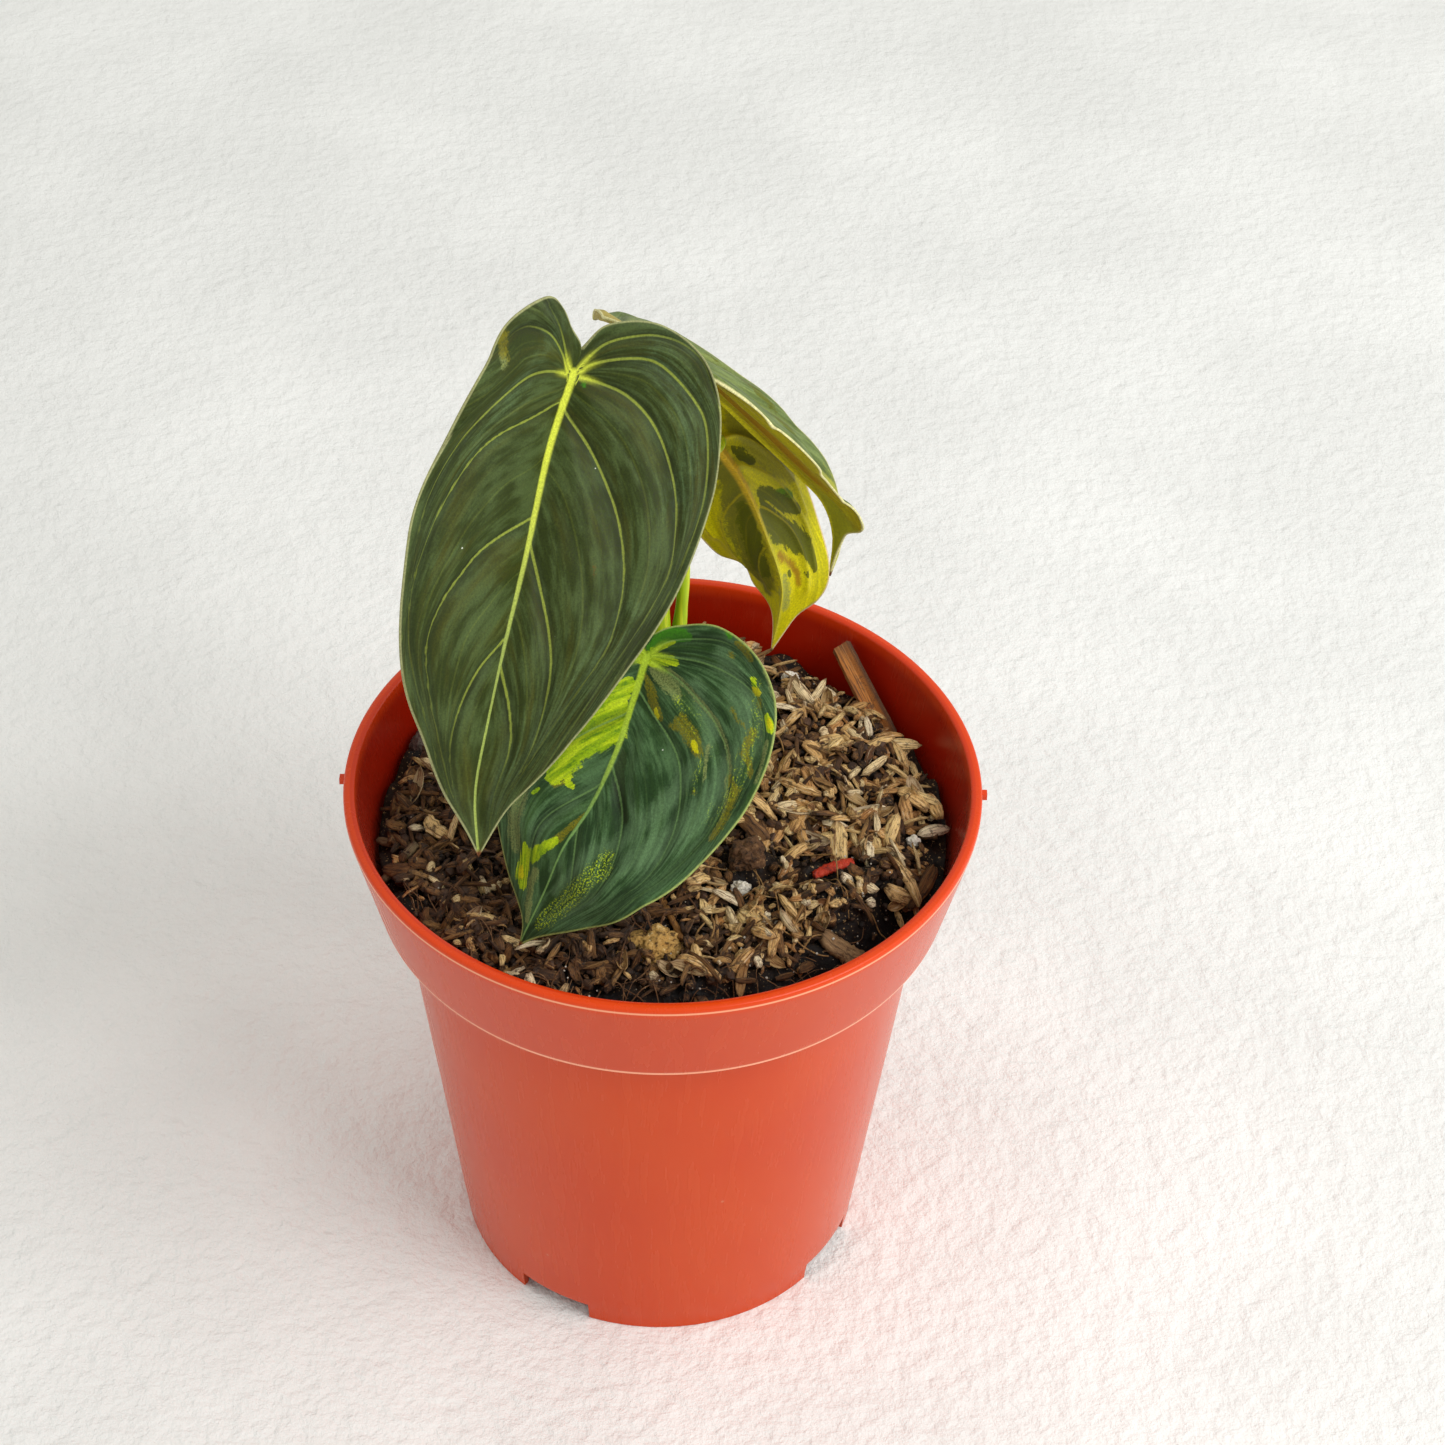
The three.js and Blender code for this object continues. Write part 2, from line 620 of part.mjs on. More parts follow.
// The curved surface of a leaf: where a place on the flat blade lies in space, and its normal.
function bladeSurface(leaf) {
  const curve = new THREE.CatmullRomCurve3(leaf.midrib.map(point), false, 'catmullrom', 0.5);
  const length = curve.getLength();
  const faceBase = faceVector(leaf.faceBase);
  const faceTip = faceVector(leaf.faceTip);
  const frameAt = (u) => {
    const share = THREE.MathUtils.clamp(u / length, 0, 1);
    const centre = curve.getPointAt(share);
    const tangent = curve.getTangentAt(share);
    const normal = faceBase.clone().lerp(faceTip, share);
    normal.addScaledVector(tangent, -normal.dot(tangent)).normalize();
    return { share, centre, tangent, normal, across: normal.clone().cross(tangent) };
  };
  const at = (u, v, lift = 0) => {
    const { share, centre, tangent, normal, across } = frameAt(u);
    const side = v < 0 ? 'left' : 'right';
    const sign = v < 0 ? -1 : 1;
    const out = Math.abs(v);
    const fold = rad(THREE.MathUtils.lerp(leaf.fold.base, leaf.fold.tip, share));
    const curl = rad(THREE.MathUtils.lerp(...leaf.curl[side], share));
    const angle = fold + curl * out;
    const reach = (Math.sin(angle) - Math.sin(fold)) / curl;
    const rise = (Math.cos(fold) - Math.cos(angle)) / curl;
    const back = Math.min(u, 0);
    const lobe = rad(leaf.lobeLift);
    const outward = v === 0 ? normal : normal.clone().multiplyScalar(Math.cos(angle))
      .addScaledVector(across, -sign * Math.sin(angle));
    return centre.clone()
      .addScaledVector(across, sign * reach)
      .addScaledVector(normal, rise - back * Math.sin(lobe))
      .addScaledVector(tangent, back * Math.cos(lobe))
      .addScaledVector(outward, lift);
  };
  return { length, at, frameAt };
}

function inTenths(list, s) {
  const low = Math.min(Math.floor(s * 10 + 1e-9), 9);
  return THREE.MathUtils.lerp(list[low], list[low + 1], s * 10 - low);
}

// Where a blade's ray leaves the midrib: at the junction, or past BASAL_SHARE along the midrib.
function rayFoot(s, length) {
  return length * Math.max(0, (s - BASAL_SHARE) / (1 - BASAL_SHARE)) ** 3;
}

// A place on the flat blade: s goes round the outline and t from the midrib out to it.
function bladePlace(outline, s, t, length, veinBow) {
  const foot = new THREE.Vector2(rayFoot(s, length), 0);
  const end = outline.getPoint(s);
  const straight = end.clone().sub(foot);
  const bow = THREE.MathUtils.lerp(...veinBow, THREE.MathUtils.smoothstep(s, 0.15, 0.5));
  const heading = Math.min(straight.angle() + rad(inTenths(RAY_SWING, s)) * bow, Math.PI);
  const reach = straight.length() * inTenths(RAY_REACH, s);
  const turn = new THREE.Vector2(Math.cos(heading), Math.sin(heading)).multiplyScalar(reach).add(foot);
  return foot.multiplyScalar((1 - t) ** 2).addScaledVector(turn, 2 * t * (1 - t)).addScaledVector(end, t * t);
}

// The blade swells between its veins, and its margin is slightly ruffled.
function bladeLift(leaf, s, t) {
  const stops = [0, ...VEINS, 1];
  let i = 0;
  while (i < stops.length - 2 && stops[i + 1] <= s) {
    i++;
  }
  const between = (s - stops[i]) / (stops[i + 1] - stops[i]);
  const swell = PLEAT_DEPTH * Math.sin(Math.PI * between) * Math.sin(Math.PI * Math.sqrt(t));
  const wave = leaf.ruffle * Math.sin(s * 26) * t ** 3 * (1 - s);
  return swell + wave;
}

function makeBlade(leaf) {
  const surface = bladeSurface(leaf);
  const { length } = surface;
  const stops = [0, ...VEINS, 1];
  const columns = [0];
  for (let i = 0; i < stops.length - 1; i++) {
    for (let k = 1; k <= STEPS_PER_VEIN; k++) {
      columns.push(THREE.MathUtils.lerp(stops[i], stops[i + 1], k / STEPS_PER_VEIN));
    }
  }
  const positions = [];
  const places = new Map();
  // Each place holds two vertices, the upper face's and the lower face's.
  const vertex = (key, u, v, lift, ridge) => {
    if (!places.has(key)) {
      places.set(key, positions.length / 6);
      positions.push(...surface.at(u, v, lift + LEAF_THICKNESS / 2).toArray());
      positions.push(...surface.at(u, v, lift - LEAF_THICKNESS / 2 - ridge).toArray());
    }
    return places.get(key);
  };
  const triangles = [];
  for (const side of ['left', 'right']) {
    const sign = side === 'left' ? -1 : 1;
    const outlinePoints = [...leaf[side], [length, 0]].map(([u, w]) => new THREE.Vector2(u, w));
    const outline = new THREE.SplineCurve(outlinePoints);
    const index = columns.map((s, i) => BLADE_ROWS.map((t, j) => {
      const foot = rayFoot(s, length);
      if (i === columns.length - 1) {
        return vertex('tip', length, 0, 0, 0);
      }
      if (j === 0) {
        return vertex(`midrib ${foot}`, foot, 0, 0, MIDRIB_RIDGE * (1 - foot / length));
      }
      const place = bladePlace(outline, s, t, length, leaf.veinBow[side]);
      const key = i === 0 ? `sinus ${j}` : `${side} ${i} ${j}`;
      return vertex(key, place.x, i === 0 ? 0 : sign * place.y, i === 0 ? 0 : bladeLift(leaf, s, t), 0);
    }));
    const add = (a, b, c) => {
      if (a !== b && b !== c && c !== a) {
        const upper = sign > 0 ? [a, b, c] : [a, c, b];
        triangles.push(...upper.map((k) => 2 * k));
        triangles.push(2 * upper[0] + 1, 2 * upper[2] + 1, 2 * upper[1] + 1);
      }
    };
    const last = BLADE_ROWS.length - 1;
    for (let i = 0; i < columns.length - 1; i++) {
      for (let j = 0; j < last; j++) {
        add(index[i][j], index[i + 1][j], index[i + 1][j + 1]);
        add(index[i][j], index[i + 1][j + 1], index[i][j + 1]);
      }
      const [a, b] = sign > 0 ? [index[i][last], index[i + 1][last]] : [index[i + 1][last], index[i][last]];
      triangles.push(2 * a, 2 * b, 2 * b + 1, 2 * a, 2 * b + 1, 2 * a + 1);
    }
  }
  return geometryFrom(positions, triangles);
}

// The petiole's own points, then its hook up to just under the blade's junction.
function petiolePoints(name) {
  const { centre, normal } = bladeSurface(LEAVES[name]).frameAt(0);
  const below = LEAF_THICKNESS / 2 + MIDRIB_RIDGE + GAP;
  const { path, hook } = PETIOLES[name];
  const end = centre.clone().addScaledVector(normal, -below);
  const before = centre.clone().addScaledVector(normal, -below - hook);
  return [...path.map(point), before, end];
}

function makeStem(grow = 0) {
  let body = solid(rod(STEM.path.map(point), STEM.radii, { grow }));
  for (const [name, { radii }] of Object.entries(PETIOLES)) {
    const points = petiolePoints(name);
    const ends = [radii.at(-1), radii.at(-1)];
    body = body.add(solid(rod(points, [...radii, ...ends], { steps: 3, grow })));
  }
  for (let i = 0; i < ROOTS.count; i++) {
    const angle = rad(ROOTS.firstAngle + (i * 360) / ROOTS.count);
    const out = new THREE.Vector3(Math.cos(angle), Math.sin(angle), 0);
    const start = point(ROOTS.start);
    start.z -= i * ROOTS.spacing;
    const middle = start.clone().addScaledVector(out, ROOTS.length * 0.55);
    const end = start.clone().addScaledVector(out, ROOTS.length);
    middle.z -= ROOTS.drop * 0.3;
    end.z -= ROOTS.drop;
    body = body.add(solid(rod([start, middle, end], ROOTS.radii, { sides: 5, grow })));
  }
  return body;
}

// The mix fills the pot up to its surface, with a socket for each thing that stands or lies in it.
function makeMix() {
  const cavity = solid(lathe([...cavityProfile(GAP), [0, POT.height - POT.lipRound]], POT.segments));
  let mix = makeLitter(solid(mixBlock())).intersect(cavity).subtract(makeStem(GAP));
  for (const bit of Object.values(BITS)) {
    mix = mix.subtract(solid(bitGeometry(bit, GAP)));
  }
  for (const slip of Object.values(SLIPS)) {
    mix = mix.subtract(solid(slipGeometry(slip, GAP)));
  }
  mix = mix.subtract(solid(stickGeometry(GAP)));
  const pieces = mix.decompose();
  pieces.sort((a, b) => b.volume() - a.volume());
  return fromSolid(pieces[0]);
}

const plant = new THREE.Group();

function addPiece(name, geometry, color, roughness) {
  const material = new THREE.MeshStandardMaterial({ color, roughness, metalness: 0 });
  const mesh = new THREE.Mesh(geometry, material);
  mesh.name = name;
  plant.add(mesh);
}

addPiece('pot', makePot(), COLORS.pot, POT_ROUGHNESS);
addPiece('potting_mix', makeMix(), COLORS.mix, BARK_ROUGHNESS);
addPiece('stem_and_petioles', fromSolid(makeStem()), COLORS.stem, LEAF_ROUGHNESS);
for (const [name, leaf] of Object.entries(LEAVES)) {
  addPiece(name, makeBlade(leaf), leaf.color, LEAF_ROUGHNESS);
}
for (const [name, bit] of Object.entries(BITS)) {
  addPiece(name, bitGeometry(bit), bit.color, BARK_ROUGHNESS);
}
for (const [name, slip] of Object.entries(SLIPS)) {
  addPiece(name, slipGeometry(slip), slip.color, BARK_ROUGHNESS);
}
addPiece('wood_stick', stickGeometry(), WOOD_STICK.color, BARK_ROUGHNESS);

export default plant;
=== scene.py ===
"""A young black gold philodendron in a full nursery pot, dressed in detail over the model's frame.

Sizes are in millimetres inside the making functions and metres in the scene.
+Z is up and -Y is the front, the side that the large leaf faces.
"""
import json
import math
import random
from functools import partial
from itertools import product

import bmesh
import bpy
import numpy as np
from mathutils import Matrix, Vector, noise

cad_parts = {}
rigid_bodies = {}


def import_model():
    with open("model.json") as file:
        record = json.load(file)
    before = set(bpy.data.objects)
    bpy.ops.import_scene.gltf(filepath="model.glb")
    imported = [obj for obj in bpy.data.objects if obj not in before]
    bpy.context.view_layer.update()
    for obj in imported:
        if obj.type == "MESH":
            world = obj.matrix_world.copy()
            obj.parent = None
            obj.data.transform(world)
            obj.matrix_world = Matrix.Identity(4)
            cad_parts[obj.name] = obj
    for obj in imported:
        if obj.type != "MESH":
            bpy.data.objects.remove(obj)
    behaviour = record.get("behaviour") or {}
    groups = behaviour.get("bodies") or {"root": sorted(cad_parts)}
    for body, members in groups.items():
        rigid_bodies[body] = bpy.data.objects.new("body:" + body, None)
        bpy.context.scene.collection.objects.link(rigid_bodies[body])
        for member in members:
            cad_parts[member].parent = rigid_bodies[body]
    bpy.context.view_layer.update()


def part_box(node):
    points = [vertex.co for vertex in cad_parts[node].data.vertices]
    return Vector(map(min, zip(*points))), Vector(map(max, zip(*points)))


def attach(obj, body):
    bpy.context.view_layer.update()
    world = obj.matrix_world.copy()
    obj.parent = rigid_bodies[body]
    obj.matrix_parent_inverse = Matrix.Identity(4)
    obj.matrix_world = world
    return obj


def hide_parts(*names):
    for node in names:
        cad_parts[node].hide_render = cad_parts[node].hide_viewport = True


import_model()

bl_info = {
    "name": "Potted Philodendron",
    "version": (1, 0, 0),
    "blender": (4, 5, 0),
    "location": "3D View > Sidebar > Plant",
    "description": "Builds a potted black gold philodendron piece by piece",
    "category": "Object",
}

MM = 0.001
PER_MM2 = 1e6

# ---- Sizes of the pot, as the frame has them ----
POT_HEIGHT, RIM_RADIUS, LIP_WIDTH, LIP_ROUND = 113.0, 60.0, 2.2, 0.4
COLLAR_HEIGHT, COLLAR_RADIUS = 22.0, 55.2  # the radius at the collar's foot
BODY_TOP_RADIUS, FOOT_RADIUS = 50.8, 40.2
WALL, FLOOR_UNDERSIDE, FLOOR_THICKNESS = 1.5, 5.0, 1.6
COLLAR_FOOT_Z = POT_HEIGHT - COLLAR_HEIGHT
FLOOR_TOP = FLOOR_UNDERSIDE + FLOOR_THICKNESS
DRAIN_COUNT, FIRST_DRAIN_ANGLE, CENTRE_HOLE_RADIUS = 4, -30.0, 5.0
NOTCH_WIDTH, NOTCH_HEIGHT = 15.5, 4.5
SLOT_WIDTH, SLOT_INNER, SLOT_OUTER = 7.0, 24.0, 36.0
NUB_OUT, NUB_WIDTH, NUB_HEIGHT, NUB_BELOW = 1.0, 1.5, 1.3, 1.5

# ---- Surface of the potting mix ----
MIX_LEVEL = 101.0
HUMPS = ((22.0, 16.0, 2.4, 24.0), (9.0, 46.0, 4.5, 6.0))  # a mound and a clod: x, y, rise, spread
EDGE_FALL = (44.0, 55.0, 1.6)  # radii between which the edge falls, and how far
TRENCH = (42.0, 50.0, 8.0)  # the same for the gap along the front wall
TRENCH_HEADING, TRENCH_HALF = -66.0, 58.0  # degrees
LUMP_COUNT, LUMP_HEIGHT, LUMP_PITCH = 9, 0.55, (0.28, 0.73)
BED_RADIUS, WALL_GAP = 54.0, 0.35
CRUMB_DEPTH = 0.9  # how far the crumbly bed lies under the smooth surface in the mean
LITTER_RADIUS, FIBRE_RADIUS = 52.2, 51.5
SHEET_HALF, SHEET_LINES = 52.5, 90  # the grid of the sheet that the litter is scattered over
SHARD_DIP = ((30.2, -13.6), (32.4, -12.6), (34.6, -11.4))

# Places where larger bits lie, which the litter leaves clear: x, y and radius.
KEEP_CLEAR = (
    (-0.5, -32, 5.6), (16, -12, 4.4), (-47, 22, 4.6), (15, -17.2, 3.6), (47.5, -4, 1.8), (24, 40, 2.2),
    (29.6, -14.2, 3.4), (32.6, -13, 3.4), (35.4, -11.4, 3.4), (32, -29.6, 2.8), (36.5, -30.3, 2.8), (0, -21, 1.8),
    (3, -27, 1.8), (1.6, -24, 1.8), (4.2, -30.5, 1.8),
)

# ---- Leaves. Midrib points in space; a face direction at each end; outlines of the two halves as
# distance along the midrib and distance out from it, from the sinus to near the tip. Veins are
# paths on the flat half in the same measures, from the inner end outwards. ----
LEAVES = {
    "leaf_large_front": {
        "slot": "dark_leaf", "face": ((30, 10), (13, 24)), "fold": (30, 16),
        "curl": {"left": (-0.3, -0.3), "right": (-0.3, -0.3)}, "lobe_lift": 5,
        "bow": {"left": (0.7, 1), "right": (1.1, 1)}, "ruffle": 0.35, "vein_width": 0.42, "rib_width": (0.95, 0.24),
        "midrib": [
            (-16.1, -4.2, 209.5), (-20, -11.3, 198.4), (-23.3, -22.6, 184.9), (-26.4, -31.9, 173.5),
            (-29.3, -39.6, 161.1), (-31.2, -46, 151), (-30.4, -52.3, 141.9),
        ],
        "outline": {
            "left": [
                (-4.5, 0), (-7.2, 5.2), (-12, 15), (-6.6, 25), (2, 26.3), (14.5, 27), (31, 27.8), (53, 19.9),
                (68.5, 9.8), (78, 3),
            ],
            "right": [
                (-4.5, 0), (-9.8, 3), (-12.4, 11.5), (-8.6, 21), (1, 27.3), (14.5, 29.6), (33, 26.7), (54, 18.5),
                (70, 10.1), (78, 4.8),
            ],
        },
        "veins": {
            "left": [
                [(-0.5, 1), (-6.9, 8.8), (-10.3, 14.8)],
                [(0, 1.5), (-2.8, 5.1), (-5.7, 11.2), (-6.4, 17.5), (-5.3, 21.4), (-2.7, 23.8)],
                [(0.3, 1.6), (0.5, 8.5), (2.5, 14.2), (8.5, 19.6), (16.7, 23.5), (24.1, 25.5), (31.8, 25.4),
                 (44, 22.6)],
                [(5, 0.7), (8.6, 7.3), (12.5, 14.2), (17.4, 18.7), (24.4, 21.7), (31.5, 23.2), (40.2, 22.9),
                 (48, 20.4), (58, 14.6)],
                [(25.7, 0.7), (29.5, 7), (33.1, 11.2), (37.8, 13.9), (42.7, 16), (49, 16.4), (58, 12.6), (68, 7.4)],
                [(47, 0.5), (52, 4.2), (58.3, 6.2), (65.5, 6.5), (73, 4.4)],
            ],
            "right": [
                [(-0.5, 0.8), (-3.7, 2), (-6.7, 4), (-9, 7.6), (-10.4, 11.4), (-10.4, 16), (-8.5, 20.3),
                 (-4.6, 23.6)],
                [(-0.2, 1), (-2.5, 2.9), (-5, 7.6), (-6.1, 12.4), (-4.3, 17.3), (-1, 22.3), (2.4, 25.2), (9, 27.4),
                 (18.5, 28), (32.2, 25.6), (45, 21.2)],
                [(0.2, 1.2), (0.2, 5), (0.8, 10.1), (3.5, 15.5), (8.2, 19.7), (15.3, 22.9), (23.4, 24.5),
                 (31, 24.5), (42, 20.9), (52, 17)],
                [(6.5, 0.9), (11.2, 6.6), (16.4, 10.6), (22.8, 14.3), (30.6, 17), (37, 17.8), (45, 17), (56, 12.6),
                 (66, 8.6)],
                [(30.5, 0.7), (37.3, 4), (43.7, 6.9), (50, 8.7), (58.1, 9), (66.8, 7.8), (74.8, 5)],
                [(52, 0.5), (58, 3.2), (65, 4.7), (74, 3.4)],
            ],
        },
    },
    "leaf_small_front": {
        "slot": "variegated_leaf", "face": ((-12.5, 49), (-47, 38)), "fold": (14, -3),
        "curl": {"left": (-0.39, -0.4), "right": (-0.39, -0.4)}, "lobe_lift": 8,
        "bow": {"left": (0.7, 0.7), "right": (0.7, 0.7)}, "ruffle": 0.5, "vein_width": 0.34,
        "rib_width": (0.72, 0.2),
        "midrib": [
            (-2.9, -9.1, 150.9), (-5.3, -14.2, 144.1), (-8.1, -20, 137.2), (-12.2, -25.9, 129.8),
            (-17, -30.7, 123.8), (-20.4, -33, 114.9), (-25.1, -36.9, 104.8),
        ],
        "outline": {
            "left": [
                (-4.4, 0), (-7.2, 4.2), (-9.4, 11.7), (-6.5, 20.2), (1, 26), (12.4, 28), (24.2, 25.5), (39.8, 17.4),
                (48.3, 10.3), (54.5, 2.2),
            ],
            "right": [
                (-4.4, 0), (-7.2, 4.2), (-9.4, 11.7), (-6.5, 20.2), (1, 26), (12.4, 28), (24.2, 25.5), (40, 18),
                (48.6, 10.5), (55.5, 3),
            ],
        },
        "veins": {
            "left": [
                [(-0.4, 0.8), (-3.8, 3.6), (-6.4, 8.6), (-6.9, 14), (-4.6, 19.2), (-0.4, 23)],
                [(0, 1), (-0.6, 6.4), (0.6, 13), (4.2, 18.6), (9.8, 22.8), (17, 24.6), (25, 22.6)],
                [(0.8, 1.2), (4.6, 7.2), (9.8, 12.6), (16.4, 17), (24.6, 18.6), (33, 16.6), (41, 13)],
                [(11, 0.8), (16.2, 6.2), (22.4, 10.4), (30, 12.6), (38, 11.6), (46.4, 7.8)],
                [(25, 0.7), (30.4, 4.2), (36.2, 6.4), (42.8, 6.2), (50, 3.8)],
            ],
            "right": [
                [(-0.4, 0.6), (-3.6, 2.9), (-5.6, 7.2), (-7, 12.7), (-6.2, 17.3), (-3.7, 21)],
                [(-0.7, 1.2), (-1.7, 6.2), (-2.3, 11), (-1.8, 16.3), (0.2, 21.4), (4.9, 25), (10.6, 26.3),
                 (18, 25.4)],
                [(0.7, 1.4), (1.9, 6.8), (4.2, 11.6), (7, 16.1), (10.9, 19.6), (14.8, 21.6), (19, 22.8), (25, 22.2),
                 (33, 19)],
                [(6.5, 0.9), (9.7, 5), (12.5, 8.8), (15.7, 12.2), (19.6, 14.6), (23.8, 16.2), (28.4, 17),
                 (34, 16.7), (41, 13.6), (48, 9.2)],
                [(21, 0.6), (24.6, 3.4), (27.8, 6.2), (31.3, 8.6), (35.6, 10.2), (41.6, 9.6), (49.6, 5.4)],
                [(34, 0.5), (38.6, 3), (44, 4.4), (51, 2.6)],
            ],
        },
        "dents": {
            "right": [([(11, 1.6), (17, 2.2), (23, 3.6), (27, 6.0), (30.5, 9.6)], 1.5, 1.5)],
            "left": [([(14, 1.4), (20, 3.4), (26, 5.4)], 0.6, 1.2)],
        },
    },
    "leaf_rear_upper": {
        "slot": "pale_leaf", "face": ((133, 36.5), (96, 55.5)), "fold": (3, 29),
        "curl": {"left": (-0.52, -0.14), "right": (-0.59, -0.19)}, "lobe_lift": 1,
        "bow": {"left": (0.2, 0.2), "right": (0.5, 0.5)}, "ruffle": 0.3,
        "rays": (0.2, 0.38, 0.52, 0.64, 0.74, 0.84), "vein_width": 0.3, "rib_width": (1.0, 0.3),
        "midrib": [
            (-2.5, 13.3, 203.2), (3.6, 15.5, 197.6), (8.8, 17.4, 190.1), (15.9, 20.1, 179.7), (23.5, 22.1, 169.5),
            (28.7, 24.9, 160.6), (30.9, 25.8, 151.8), (30.3, 24.4, 143.2),
        ],
        "outline": {
            "left": [
                (-3.6, 0), (-5.8, 3.2), (-7.4, 7.5), (-5.4, 12.5), (1, 15.8), (12, 21.5), (27.5, 22), (45.5, 11),
                (56.3, 9.7), (62, 3.2),
            ],
            "right": [
                (-3.6, 0), (-5.4, 4), (-6.4, 9.5), (-3.4, 16.8), (3.6, 24), (14.6, 28.1), (28.6, 21.8),
                (45.2, 13.9), (56.6, 9.2), (62.6, 4.2),
            ],
        },
    },
    "leaf_rear_lower": {
        "slot": "yellow_leaf", "face": ((204.5, -7), (165, -42.5)), "fold": (43, 39.5),
        "curl": {"left": (-0.24, -0.14), "right": (-0.28, -0.2)}, "lobe_lift": 8,
        "bow": {"left": (0.15, 0.15), "right": (0.4, 0.4)}, "ruffle": 0.4, "vein_width": 0.38,
        "rib_width": (1.25, 0.35),
        "midrib": [
            (7.6, 17.1, 180.3), (13.3, 20.1, 168.2), (17.9, 23.3, 153.5), (21.2, 26.9, 139.6), (21.3, 29.5, 129.8),
            (19.9, 30.9, 118.5),
        ],
        "outline": {
            "left": [
                (-3.3, 0), (-4.6, 2.4), (-5.2, 5), (-3.2, 8), (2.5, 9.8), (12, 11.6), (27, 14.7), (43.2, 12.6),
                (53.6, 9.4), (57.2, 3.5),
            ],
            "right": [
                (-3.3, 0), (-5.6, 3.2), (-7.8, 7.8), (-5.4, 14.2), (0.5, 18.4), (11.8, 20.2), (27.5, 15.4),
                (43.2, 12.7), (53.5, 9.5), (56.2, 2.6),
            ],
        },
        "veins": {
            "left": [
                [(-0.3, 0.8), (-2.2, 3.2), (-2.0, 6.0), (2.0, 8.6), (8, 9.4), (16, 10.2)],
                [(1.5, 0.8), (5.5, 4.6), (11, 7.4), (18, 9.6), (27, 11.6), (36, 11)],
                [(9, 0.8), (15, 4.2), (22, 7.4), (30, 9.4), (39, 9.6), (47, 8)],
                [(21, 0.8), (27, 3.6), (34, 6.0), (42, 6.6), (50, 5.4)],
            ],
            "right": [
                [(-0.4, 0.8), (-3.6, 4.0), (-4.4, 8.4), (-1.2, 12.6), (4, 15.2), (11, 15.6)],
                [(1, 0.8), (3.4, 5.2), (8.2, 9.8), (15, 12.4), (23, 12.8), (32, 11)],
                [(16, 0.8), (18.6, 3), (21.6, 5.4), (26, 7.6), (32.5, 8.4), (40, 7.6), (49, 5.6)],
                [(32, 0.6), (37, 2.9), (43, 4.0), (50, 3.2)],
            ],
        },
    },
}

LEAF_THICKNESS = 0.55
PLEAT_DEPTH = 1.0
BLADE_COLUMNS, BLADE_ROWS = 190, 52  # cells round and across one half of a blade

# How the rays of a blade bow between midrib and outline, in tenths of the way round.
RAY_SWING = (0, 12, 26, 42, 54, 62, 54, 50, 45, 30, 15)
RAY_REACH = (0.5, 0.5, 0.55, 0.66, 0.74, 0.8, 0.66, 0.5, 0.38, 0.28, 0.2)
BASAL_SHARE = 0.6


